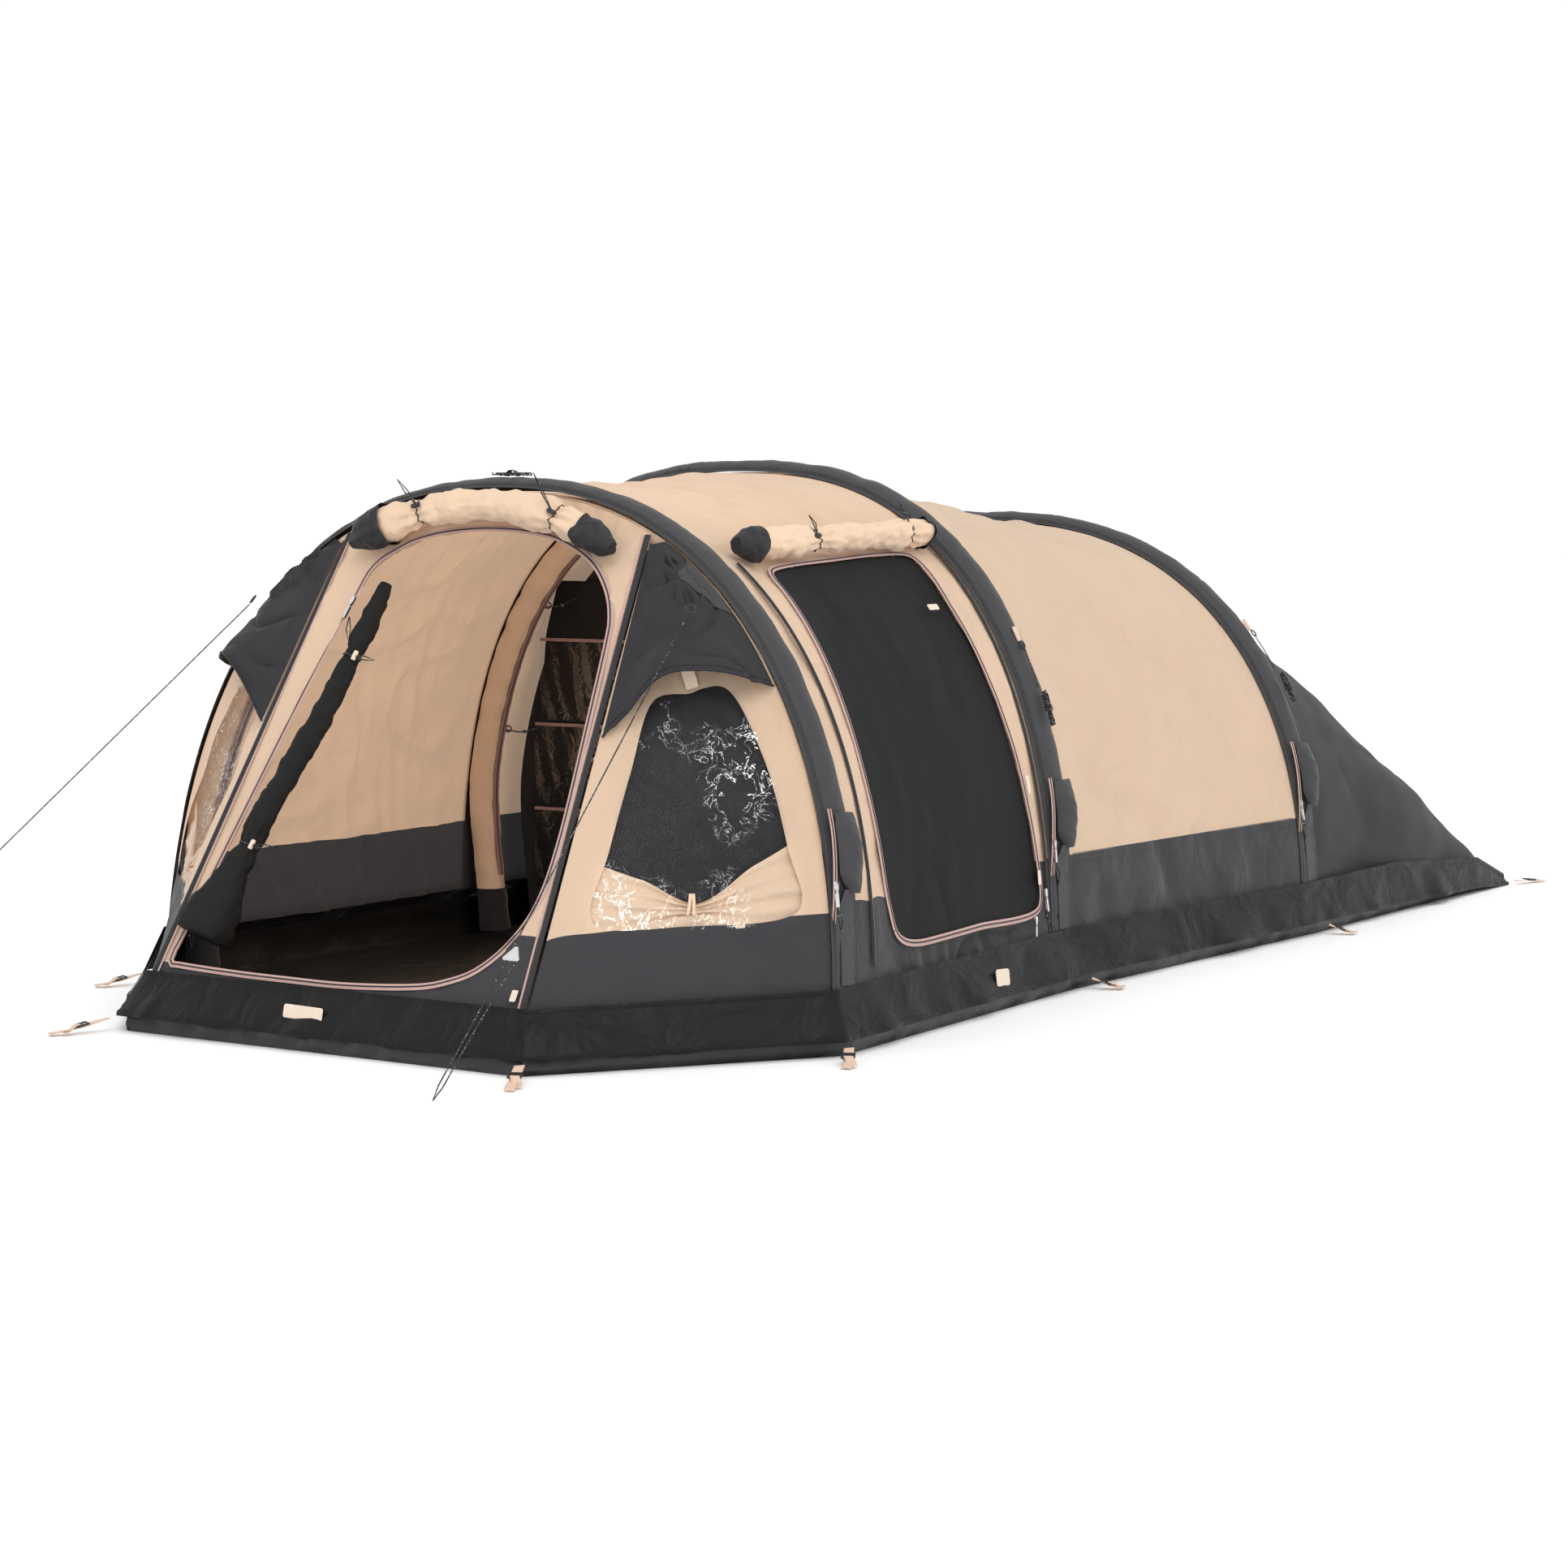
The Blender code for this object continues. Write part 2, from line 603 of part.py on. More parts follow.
k_out = [(p.x, p.z) for p in ring_pts("middle", -0.096, 0.088, 40, 0.03)]
INNER_DOOR = [(-0.10, 0.10), (0.70, 0.10), (0.78, 0.20), (0.78, 0.62), (0.66, 0.92), (0.42, 1.08), (0.12, 1.10), (-0.08, 0.98), (-0.16, 0.70), (-0.16, 0.20)]
lean_m, y_m = ARCHES["middle"][4], ARCHES["middle"][3]


def inner_front(x, z):
    return Vector((x, y_m + lean_m * z + 0.086, z))


cen = (0.30, 0.55)
rows = []
for i in range(32):
    f = 2 * math.pi * i / 32
    ri, ro = star(INNER_DOOR, cen, f), star(k_out, cen, f)
    rows.append([inner_front(cen[0] + math.cos(f) * (ri + (ro - ri) * k / 2), cen[1] + math.sin(f) * (ri + (ro - ri) * k / 2)) for k in range(3)])
grid_shell("inner_front_wall", rows, INNER, 0.002, close_i=True)
# pocket panel hung on the front wall, facing the living area
rows = []
for j, (z, hw, out) in enumerate([(0.16, 0.20, 0.012), (0.40, 0.20, 0.030), (0.41, 0.20, 0.012), (0.66, 0.19, 0.030), (0.67, 0.19, 0.012),
                                  (0.92, 0.17, 0.026), (0.93, 0.17, 0.012), (1.10, 0.14, 0.012)]):
    rows.append([inner_front(-0.50 + hw * a, z) + Vector((0, -out, 0)) for a in (-1, -0.33, 0.33, 1)])
grid_shell("organizer", rows, MESH, 0.0015)


# ---------------------------------------------------------------- zip sliders
def slider(name, p, along, out, mat=METAL, hang=None):
    """Slider body with its pull, one flat forging lying on the zip."""
    a, n = Vector(along).normalized(), Vector(out).normalized()
    o = [(-0.0055, 0.011), (0.0055, 0.011), (0.0065, 0.002), (0.0045, -0.009), (0.0020, -0.012), (0.0020, -0.016), (0.0040, -0.019),
         (0.0040, -0.052), (-0.0040, -0.052), (-0.0040, -0.019), (-0.0020, -0.016), (-0.0020, -0.012), (-0.0045, -0.009), (-0.0065, 0.002)]
    u = a.cross(n)
    return plate(name, o, 0.006, (p, u, a), mat)


def along_front(x0, v0, x1, v1, out):
    p, q = front_out(x0, v0, out), front_out(x1, v1, out)
    return p, (q - p).normalized(), (front_out(x0, v0, out + 0.01) - front_out(x0, v0, out)).normalized()


p, d, n = along_front(-0.700, 0.790, -0.905, 0.110, 0.011)
FD_TOP, FD_DIR = p, d
slider("slider_front_upper", p, -d, n)
p2 = p + d * 0.905
slider("slider_front_lower", p2, -d, n)
p = bay_out("front", "middle", 0.890, 0.081, 0.011)
q = bay_out("front", "middle", 0.390, 0.081, 0.011)
n = (bay_out("front", "middle", 0.890, 0.081, 0.02) - p).normalized()
SD_P, SD_DIR = p, (q - p).normalized()
slider("slider_side_sill", p, (0, 0, 1), n)
p = bay_out("front", "middle", 0.945, 0.108, 0.014)
q = bay_out("front", "middle", 0.935, 0.170, 0.014)
SP_P, SP_DIR = p, (q - p).normalized()
n = (bay_out("front", "middle", 0.940, 0.140, 0.02) - bay_out("front", "middle", 0.940, 0.140, 0.0)).normalized()
slider("slider_side_post", p, SP_DIR, n)
ZIPS = {}
for key in ARCHES:
    s1, s2 = s_at_z(key, 0.405), s_at_z(key, 0.53)
    p, q = (arch(key, s, foot_shift(z) + 0.030, -0.0465) for s, z in ((s1, 0.405), (s2, 0.53)))
    nor, tan, tw = arch_dirs(key, (s1 + s2) / 2)
    ZIPS[key] = (p, (q - p).normalized())
    slider("slider_valve_" + key, p, q - p, nor)


# ---------------------------------------------------------------- peg straps
def ribbon(name, pts, across, mat, width=WEBBING, thick=0.002):
    a = Vector(across).normalized() * (width / 2)
    rows = [[Vector(p) - a for p in pts], [Vector(p) + a for p in pts]]
    return grid_shell(name, rows, mat, thick)


def strap(word, root, foot, drop=0.03):
    """Webbing from under the hem to the ground and out to its pegging end."""
    for side, hand in ((1, "right"), (-1, "left")):
        r = Vector((root[0] * side, root[1], root[2]))
        f = Vector((foot[0] * side, foot[1], foot[2]))
        d = f - r
        flat = Vector((d.x, d.y, 0)).normalized()
        across = Vector((-flat.y, flat.x, 0))
        m = r.lerp(f, 0.62)
        m.z = 0.006 + 0.25 * (r.z - 0.006)
        ribbon("peg_strap_%s_%s" % (word, hand), [r, r.lerp(m, 0.5), m, f], across, WEB)


strap("front", (0.655, -0.722, 0.034), (0.730, -0.860, 0.004))
strap("arch_front", (1.160, -0.075, 0.030), (1.225, -0.190, 0.004))
strap("arch_middle", (1.114, 1.279, 0.030), (1.190, 1.314, 0.004))
strap("arch_rear", (1.200, 2.700, 0.030), (1.270, 2.730, 0.004))
strap("tail", (1.212, 4.285, 0.012), (1.270, 4.425, 0.004))


# ---------------------------------------------------------------- guy lines
def smooth(points, n):
    """Evenly spaced points on a Catmull-Rom curve through the route."""
    P = [Vector(p) for p in points]
    P = [P[0] * 2 - P[1]] + P + [P[-1] * 2 - P[-2]]
    dense = []
    for i in range(1, len(P) - 2):
        for k in range(24):
            t = k / 24
            a, b, c, d = P[i - 1], P[i], P[i + 1], P[i + 2]
            dense.append(0.5 * ((2 * b) + (c - a) * t + (2 * a - 5 * b + 4 * c - d) * t * t + (3 * b - a - 3 * c + d) * t ** 3))
    dense.append(P[-2])
    L = [0.0]
    for a, b in zip(dense, dense[1:]):
        L.append(L[-1] + (b - a).length)
    out = []
    for i in range(n):
        x = L[-1] * i / (n - 1)
        k = max(j for j in range(len(L)) if L[j] <= x + 1e-12)
        if k >= len(dense) - 1:
            out.append(dense[-1])
        else:
            out.append(dense[k].lerp(dense[k + 1], (x - L[k]) / (L[k + 1] - L[k])))
    return out


RING = Vector((0.712, -0.105, 1.070))
PEG_R = Vector((0.669, -1.061, 0.006))
PEG_L = Vector((-1.500, -0.860, 0.006))


def guy_route(ring, peg, run=0.72, gap=0.020):
    d = (peg - ring)
    side = Vector((d.y, -d.x, 0)).normalized()
    r1 = ring.lerp(peg, run)
    mid = ring.lerp(peg, run * 0.5)
    low = peg + Vector((0, 0, 0.004)) - d.normalized() * 0.02
    return [ring, mid, r1, r1.lerp(peg, 0.5) + side * 0.002, low + side * 0.004, peg - side * 0.002, low - side * 0.010,
            r1.lerp(peg, 0.5) - side * gap * 0.75, r1 - side * gap * 1.5], r1, d.normalized(), side


route, RUN_P, RUN_D, RUN_S = guy_route(RING, PEG_R)
tube("guy_line_front_right", smooth(route, 46), GUY_D / 2, CORD)
ringL = Vector((-RING.x, RING.y, RING.z))
tube("guy_line_front_left", smooth([ringL, ringL.lerp(PEG_L, 0.5), PEG_L], 20), GUY_D / 2, CORD)
nrm = RUN_D.cross(RUN_S).normalized()
if nrm.y > 0:
    nrm = -nrm
tri = [(-0.020, -0.016), (0.020, -0.016), (0.024, -0.010), (0.004, 0.022), (-0.004, 0.022), (-0.024, -0.010)]
plate("guy_runner", tri, 0.003, (RUN_P - RUN_S * 0.014 + nrm * 0.0045, -RUN_S, -RUN_D), METAL)

for key, word, z0, zh, z1 in (("middle", "middle", 0.93, 0.76, 0.66), ("rear", "rear", 0.90, 0.74, 0.62)):
    t0 = 0.0 if key == "middle" else 0.030
    pts = [arch(key, s_at_z(key, z), foot_shift(z) + 0.0405 + (0.0 if t0 == 0 else -0.002), t0) for z in (z0, (z0 + zh + 0.06) / 2, zh + 0.058)]
    tube("guy_line_" + word, smooth(pts, 10), GUY_D / 2, CORD)
    s = s_at_z(key, zh)
    nor, tan, tw = arch_dirs(key, s)
    c = arch(key, s, foot_shift(zh) + 0.052, t0)
    o = [(0.014 * math.cos(f), (0.040 if math.sin(f) > 0 else -0.040) + 0.014 * math.sin(f)) for f in
         [math.pi * (i + 0.0) / 6 for i in range(7)] + [math.pi + math.pi * i / 6 for i in range(7)]]
    plate("guy_hank_" + word, o, 0.020, (c, tw, tan), CORD)

if __name__ == "__main__":
    def w(v):
        return tuple(round(c, 5) for c in (v[0], v[1] - Y_MID, v[2]))
    print("JOINTS front", w(FD_TOP), tuple(round(c, 5) for c in FD_DIR), "lower", w(p2))
    print("side sill", w(SD_P), tuple(round(c, 5) for c in SD_DIR), "post", w(SP_P), tuple(round(c, 5) for c in SP_DIR))
    for key in ARCHES:
        sv = s_at_z(key, 0.475)
        nor, tan, tw = arch_dirs(key, sv)
        pv = arch(key, sv, foot_shift(0.475) - BEAM_IN)
        print(key, "valve", w(pv), tuple(round(c, 5) for c in nor), "hinge", w(arch(key, sv, foot_shift(0.475) + 0.041, 0.050)),
              tuple(round(c, 5) for c in tan), "zip", w(ZIPS[key][0]), tuple(round(c, 5) for c in ZIPS[key][1]))
    print("runner", w(RUN_P), tuple(round(c, 5) for c in RUN_D))
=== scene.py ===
"""Looks of the inflatable tunnel tent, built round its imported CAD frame."""
import json
import math
import bpy
import numpy as np
from mathutils import Vector, Matrix


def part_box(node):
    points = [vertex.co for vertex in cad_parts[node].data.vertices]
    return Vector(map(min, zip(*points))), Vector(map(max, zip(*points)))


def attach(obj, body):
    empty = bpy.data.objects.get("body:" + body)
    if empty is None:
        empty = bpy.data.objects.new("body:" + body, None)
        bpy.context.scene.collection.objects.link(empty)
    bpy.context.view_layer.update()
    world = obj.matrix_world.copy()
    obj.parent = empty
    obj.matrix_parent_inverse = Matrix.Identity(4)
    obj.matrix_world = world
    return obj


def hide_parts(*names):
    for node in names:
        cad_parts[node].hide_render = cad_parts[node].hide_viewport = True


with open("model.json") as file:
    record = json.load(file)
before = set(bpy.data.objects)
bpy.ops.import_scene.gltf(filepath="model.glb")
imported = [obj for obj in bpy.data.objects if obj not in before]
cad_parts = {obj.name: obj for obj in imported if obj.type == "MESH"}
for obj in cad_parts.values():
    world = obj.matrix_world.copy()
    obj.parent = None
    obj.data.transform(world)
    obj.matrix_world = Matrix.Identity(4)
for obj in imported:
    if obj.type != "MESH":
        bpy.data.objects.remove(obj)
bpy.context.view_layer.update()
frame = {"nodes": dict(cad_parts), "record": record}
Y_MID = 1.78187
A3 = np.array

# ------------------------------------------------------------------ camera
cam = bpy.data.cameras.new("camera")
cam.sensor_width = 36.0
cam.lens = 76.763
cam_ob = bpy.data.objects.new("camera", cam)
bpy.context.scene.collection.objects.link(cam_ob)
yaw, pitch = math.radians(32.774), math.radians(5.0057)
look = Vector((-math.sin(yaw) * math.cos(pitch), math.cos(yaw) * math.cos(pitch), -math.sin(pitch)))
cam_ob.location = (5.3547, -6.8808 - Y_MID, 1.3710)
cam_ob.rotation_euler = look.to_track_quat("-Z", "Y").to_euler()
cam.clip_end = 200
bpy.context.scene.camera = cam_ob
bpy.context.view_layer.update()

# ------------------------------------------------------------------ the tent's shape, as in the CAD script
ARCHES = {"front": (1.090, 1.372, 2.27, 0.010, 0.080), "middle": (1.030, 1.425, 2.52, 1.262, -0.020), "rear": (1.137, 1.270, 2.38, 2.689, 0.010)}
EDGE, BEAM_IN = 0.0535, 0.016
SEAM_Z, S_SEAM = 0.36, 0.14
SKIRT_Z, HEM_Z = 0.153, 0.043
FRONT_BASE = (0.600, -0.625, 0.137)
FRONT_TOP_X = 0.492
TAIL = (1.187, 4.271)
TUB = [(0.628, -0.686, 0.598, -0.628, 0.120), (1.110, -0.030, 1.086, -0.020, 0.120), (1.072, 1.262, 1.026, 1.262, 0.120),
       (1.150, 2.689, 1.132, 2.689, 0.115), (1.160, 4.150, 1.160, 4.150, 0.030)]
GUY_D = 0.0035


def arch_table(key):
    w, h, n, y0, lean = ARCHES[key]
    k = math.sqrt(1 + lean * lean)
    th = np.linspace(0, math.pi / 2, 4001)
    x = w * np.cos(th).clip(0) ** (2 / n)
    z = h * np.sin(th).clip(0) ** (2 / n)
    arc = np.concatenate([[0], np.cumsum(np.hypot(np.diff(x), np.diff(z) * k))])
    t1 = math.asin((SEAM_Z / h) ** (n / 2))
    a1 = np.interp(t1, th, arc)
    s = np.linspace(0, 0.5, 501)
    out = np.where(s <= S_SEAM,
                   np.arcsin((SEAM_Z * s / S_SEAM / h).clip(0, 1) ** (n / 2)),
                   np.interp(a1 + (arc[-1] - a1) * (s - S_SEAM) / (0.5 - S_SEAM), arc, th))
    return s, out


TABLE = {k: arch_table(k) for k in ARCHES}


def arch(key, s, r=0.0, t=0.0):
    w, h, n, y0, lean = ARCHES[key]
    k = math.sqrt(1 + lean * lean)
    left = s > 0.5
    sr = 1 - s if left else s
    th = float(np.interp(sr, *TABLE[key]))

    def at(a):
        return w * max(math.cos(a), 0) ** (2 / n), h * max(math.sin(a), 0) ** (2 / n)

    x, z = at(th)
    e = 2e-3
    xa, za = at(max(th - e, 0))
    xb, zb = at(min(th + e, math.pi / 2))
    tx, tz = xb - xa, (zb - za) * k
    q = math.hypot(tx, tz)
    nx, nz = tz / q, -tx / q
    x, z = x + r * nx, z + r * nz / k
    y = y0 + lean * z
    if left:
        x = -x
    return Vector((x, y + t / k, z - t * lean / k))


def arch_dirs(key, s):
    p0, p1 = arch(key, s - 0.004), arch(key, s + 0.004)
    return (arch(key, s, 0.01) - arch(key, s)).normalized(), (p1 - p0).normalized(), (arch(key, s, 0, 0.01) - arch(key, s)).normalized()


def bisect(fn, target, lo=0.0, hi=0.5, rising=True):
    for _ in range(40):
        m = (lo + hi) / 2
        if (fn(m) < target) == rising:
            lo = m
        else:
            hi = m
    return (lo + hi) / 2


def s_at_z(key, z):
    return bisect(lambda m: arch(key, m).z, z)


def s_at_x(key, x):
    return bisect(lambda m: arch(key, m).x, x, rising=False)


def foot_shift(z):
    q = min(max((0.55 - z) / 0.55, 0.0), 1.0)
    return -0.058 * q * q * (3 - 2 * q)


def bay(a, b, u, s):
    p, q = arch(a, s, 0.0, EDGE), arch(b, s, 0.0, -EDGE)
    return p.lerp(q, u)


s_top = s_at_x("front", FRONT_TOP_X)
P_BASE = Vector(FRONT_BASE)
P_TOP = arch("front", s_top, 0, -EDGE)


def front(x, v):
    b = Vector((FRONT_BASE[0] * x, FRONT_BASE[1], FRONT_BASE[2]))
    t = arch("front", 0.5 - (0.5 - s_top) * abs(x), 0, -EDGE)
    if x < 0:
        t.x = -t.x
    return b.lerp(t, v)


def facet_edges(z):
    k = (z - P_BASE.z) / (P_TOP.z - P_BASE.z)
    return P_BASE.lerp(P_TOP, k), arch("front", s_at_z("front", z), 0, -EDGE)


def facet(w, z, side=1, out=0.0, gap=0.004):
    e1, e2 = facet_edges(z)
    d = e2 - e1
    n = Vector((d.y, -d.x, 0)).normalized()
    k = gap / d.length
    p = e1 + d * (k + (1 - 2 * k) * w) + n * out
    p.x *= side
    return p


DOOR = [(-0.915, 0.035), (-0.905, 0.10), (-0.855, 0.35), (-0.790, 0.60), (-0.700, 0.80), (-0.655, 0.862), (-0.520, 0.888),
        (-0.376, 0.903), (-0.025, 0.913), (0.369, 0.911), (0.544, 0.901), (0.713, 0.878), (0.825, 0.840), (0.885, 0.795),
        (0.905, 0.740), (0.925, 0.551), (0.940, 0.344), (0.915, 0.215), (0.832, 0.133), (0.706, 0.074), (0.565, 0.045),
        (0.404, 0.030), (0.067, 0.020), (-0.256, 0.020), (-0.544, 0.022), (-0.85, 0.028)]
WINDOW = [(0.175, 0.335), (0.180, 0.50), (0.215, 0.68), (0.275, 0.842), (0.460, 0.868), (0.665, 0.875), (0.745, 0.72),
          (0.800, 0.504), (0.815, 0.345), (0.480, 0.322)]
SIDE_DOOR = [(0.185, 0.108), (0.155, 0.150), (0.143, 0.207), (0.148, 0.250), (0.162, 0.296), (0.170, 0.322), (0.190, 0.343),
             (0.450, 0.345), (0.832, 0.341), (0.850, 0.300), (0.866, 0.256), (0.882, 0.225), (0.900, 0.191), (0.922, 0.094), (0.600, 0.091),
             (0.317, 0.090), (0.230, 0.095)]
SKIRT_TOP = [(1.178, 4.245, 0.030), (1.181, 3.98, 0.112), (1.163, 3.30, 0.158), (1.143, 2.689, SKIRT_Z), (1.036, 1.262, SKIRT_Z),
             (1.095, -0.045, SKIRT_Z), (0.609, -0.634, 0.142)]
SKIRT_HEM = [(1.194, 4.262, 0.004), (1.200, 3.98, 0.022), (1.190, 3.30, 0.036), (1.180, 2.689, HEM_Z), (1.092, 1.262, HEM_Z),
             (1.138, -0.062, HEM_Z), (0.640, -0.703, HEM_Z)]


def hood(a, b, side=1):
    low = 0.770 + 0.165 * math.sin(math.pi * min(a, 0.5)) ** 0.8 - 0.045 * (max(0.0, a - 0.5) / 0.5) ** 2
    z = 1.240 + (low - 1.240) * b
    out = 0.007 + 0.125 * (max(math.sin(math.pi * a), 0) ** 0.75) * (0.25 + 0.75 * b) * b ** 0.5
    return facet(0.012 + 0.976 * a, z, side, out)


S0 = s_at_z("front", 0.150)
S0B = s_at_z("middle", 0.150)
S0C = s_at_z("rear", 0.150)
S_SPLIT = 0.385


def tail_end(s):
    q = (s - S0) / (1 - 2 * S0)
    if q < 0.30:
        x = TAIL[0] - 0.030 * q / 0.30
    elif q > 0.70:
        x = -(TAIL[0] - 0.030 * (1 - q) / 0.30)
    else:
        x = (TAIL[0] - 0.030) * (1 - 2 * (q - 0.30) / 0.40)
    return Vector((x, TAIL[1], 0.006))


def tail(s, v):
    p = arch("rear", s, 0.0, EDGE + 0.003).lerp(tail_end(s), v)
    q = abs(2 * (s - 0.5))
    p.z += 0.05 * math.sin(math.pi * v) * max(0.0, (q - 0.72) / 0.28)
    return p


def smooth(points, n):
    P = [Vector(p) for p in points]
    P = [P[0] * 2 - P[1]] + P + [P[-1] * 2 - P[-2]]
    dense = []
    for i in range(1, len(P) - 2):
        for k in range(24):
            t = k / 24
            a, b, c, d = P[i - 1], P[i], P[i + 1], P[i + 2]
            dense.append(0.5 * ((2 * b) + (c - a) * t + (2 * a - 5 * b + 4 * c - d) * t * t + (3 * b - a - 3 * c + d) * t ** 3))
    dense.append(P[-2])
    L = [0.0]
    for a, b in zip(dense, dense[1:]):
        L.append(L[-1] + (b - a).length)
    out, k = [], 0
    for i in range(n):
        x = L[-1] * i / (n - 1)
        while k < len(dense) - 2 and L[k + 1] <= x + 1e-12:
            k += 1
        if i == n - 1:
            out.append(dense[-1])
        else:
            out.append(dense[k].lerp(dense[k + 1], (x - L[k]) / max(L[k + 1] - L[k], 1e-9)))
    return out


def round_loop(pts, per=10, tension=0.5):
    """Closed Catmull-Rom curve through an outline, in its own parameter space."""
    n = len(pts)
    out = []
    for i in range(n):
        a, b, c, d = (A3(pts[(i + k) % n], float) for k in (-1, 0, 1, 2))
        for j in range(per):
            t = j / per
            m1, m2 = (c - a) * tension, (d - b) * tension
            out.append((2 * t**3 - 3 * t**2 + 1) * b + (t**3 - 2 * t**2 + t) * m1 + (-2 * t**3 + 3 * t**2) * c + (t**3 - t**2) * m2)
    return [tuple(p) for p in out]


DOOR_S, SIDE_S = round_loop(DOOR), round_loop(SIDE_DOOR, tension=0.35)
WINDOW_S = round_loop(WINDOW, tension=0.25)


def star(points, centre, f):
    dx, dy = math.cos(f), math.sin(f)
    P = A3(points) - A3(centre)
    Q = np.roll(P, -1, axis=0)
    E = Q - P
    det = dx * (-E[:, 1]) + dy * E[:, 0]
    det = np.where(np.abs(det) < 1e-12, 1e-12, det)
    r = (P[:, 0] * (-E[:, 1]) + P[:, 1] * E[:, 0]) / det
    m = (dx * P[:, 1] - dy * P[:, 0]) / det
    ok = (r > 0) & (m >= -1e-9) & (m <= 1 + 1e-9)
    return float(r[ok].max()) if ok.any() else 0.0


def ring_angles(centre, box, n):
    x0, x1, y0, y1 = box
    fs = [2 * math.pi * i / n for i in range(n)]
    for cx, cy in ((x0, y0), (x1, y0), (x1, y1), (x0, y1)):
        a = math.atan2(cy - centre[1], cx - centre[0]) % (2 * math.pi)
        i = min(range(len(fs)), key=lambda k: abs((fs[k] - a + math.pi) % (2 * math.pi) - math.pi))
        fs[i] = a
    return sorted(fs)


def box_ray(centre, box, f):
    x0, x1, y0, y1 = box
    dx, dy = math.cos(f), math.sin(f)
    r = 1e9
    if dx > 1e-9:
        r = min(r, (x1 - centre[0]) / dx)
    if dx < -1e-9:
        r = min(r, (x0 - centre[0]) / dx)
    if dy > 1e-9:
        r = min(r, (y1 - centre[1]) / dy)
    if dy < -1e-9:
        r = min(r, (y0 - centre[1]) / dy)
    return r


# ------------------------------------------------------------------ mesh helpers
def waves(P, L, seed=0, n=9, ax=(1, 1, 1)):
    """Smooth repeatable wander, about -1 to 1, whose lumps are about L metres apart."""
    rng = np.random.RandomState(seed)
    Q = P * A3(ax, float)
    out = 0
    for _ in range(n):
        d = rng.normal(size=3)
        d /= np.linalg.norm(d)
        out = out + np.sin((Q @ d) * (2 * math.pi / L) * rng.uniform(0.55, 1.6) + rng.uniform(0, 6.28))
    return out / math.sqrt(n)


def creases(P, L, seed=0, ax=(1, 1, 1), sharp=4):
    """Narrow ridges, 0 to 1."""
    return (1 - np.abs(waves(P, L, seed, 5, ax)).clip(0, 1)) ** sharp


class Bag:
    """Gathers pieces of one material that ride on one body into one mesh."""

    def __init__(self, name, mats, body="tent"):
        self.name, self.mats, self.body = name, mats if isinstance(mats, list) else [mats], body
        self.v, self.f, self.uv, self.mi, self.att = [], [], [], [], []

    def grid(self, P, close_i=False, close_j=False, uv=None, mat=0, att=None, flip=False):
        P = np.asarray(P, float)
        ni, nj = P.shape[:2]
        base = sum(len(x) for x in self.v)
        self.v.append(P.reshape(-1, 3))
        self.att.append((np.zeros((ni, nj)) if att is None else np.asarray(att, float)).reshape(-1))
        if uv is None:
            du = np.concatenate([np.zeros((1, nj)), np.cumsum(np.linalg.norm(np.diff(P, axis=0), axis=2), 0)], 0)
            dv = np.concatenate([np.zeros((ni, 1)), np.cumsum(np.linalg.norm(np.diff(P, axis=1), axis=2), 1)], 1)
            uv = np.stack([du, dv], -1)
        li = np.linalg.norm(P[-1] - P[0], axis=-1).mean() if close_i else 0
        lj = np.linalg.norm(P[:, -1] - P[:, 0], axis=-1).mean() if close_j else 0
        for i in range(ni if close_i else ni - 1):
            i2 = (i + 1) % ni
            for j in range(nj if close_j else nj - 1):
                j2 = (j + 1) % nj
                q = [(i, j), (i2, j), (i2, j2), (i, j2)]
                if flip:
                    q = q[::-1]
                self.f.append([base + a * nj + b for a, b in q])
                self.mi.append(mat)
                for a, b in q:
                    w = uv[a, b].copy()
                    if i2 == 0 and a == 0:
                        w[0] = uv[-1, b][0] + li
                    if j2 == 0 and b == 0:
                        w[1] = uv[a, -1][1] + lj
                    self.uv.append(w)
        return self

    def cap(self, P, mat=0, flip=False):
        """Closes a ring of points with a fan."""
        P = np.asarray(P, float)
        base = sum(len(x) for x in self.v)
        c = P.mean(0)
        self.v.append(np.concatenate([P, c[None]]))
        self.att.append(np.zeros(len(P) + 1))
        n = len(P)
        for i in range(n):
            q = [base + i, base + (i + 1) % n, base + n]
            if flip:
                q = q[::-1]
            self.f.append(q)
            self.mi.append(mat)
            for k in q:
                p = (P[k - base] if k - base < n else c) - c
                self.uv.append(A3([p[0] + p[1], p[2]]))
        return self

    def make(self, smooth_=True, weld=0.0, attr=None):
        me = bpy.data.meshes.new(self.name)
        V = np.concatenate(self.v).copy()
        V[:, 1] -= Y_MID
        V[:, 2] = np.maximum(V[:, 2], 0.0004)
        me.from_pydata([tuple(p) for p in V], [], self.f)
        ul = me.uv_layers.new(name="UVMap")
        ul.data.foreach_set("uv", np.asarray(self.uv, np.float32).reshape(-1))
        me.polygons.foreach_set("material_index", self.mi)
        if attr:
            a = me.attributes.new(attr, "FLOAT", "POINT")
            a.data.foreach_set("value", np.concatenate(self.att).astype(np.float32))
        for m in self.mats:
            me.materials.append(m)
        if smooth_:
            me.polygons.foreach_set("use_smooth", [True] * len(me.polygons))
        if weld:
            import bmesh
            bm = bmesh.new()
            bm.from_mesh(me)
            bmesh.ops.remove_doubles(bm, verts=bm.verts, dist=weld)
            bm.to_mesh(me)
            bm.free()
        me.update()
        ob = bpy.data.objects.new(self.name, me)
        bpy.context.scene.collection.objects.link(ob)
        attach(ob, self.body)
        return ob


def normals(P):
    du = np.gradient(P, axis=0)
    dv = np.gradient(P, axis=1)
    n = np.cross(du, dv)
    return n / np.linalg.norm(n, axis=-1, keepdims=True).clip(1e-9)


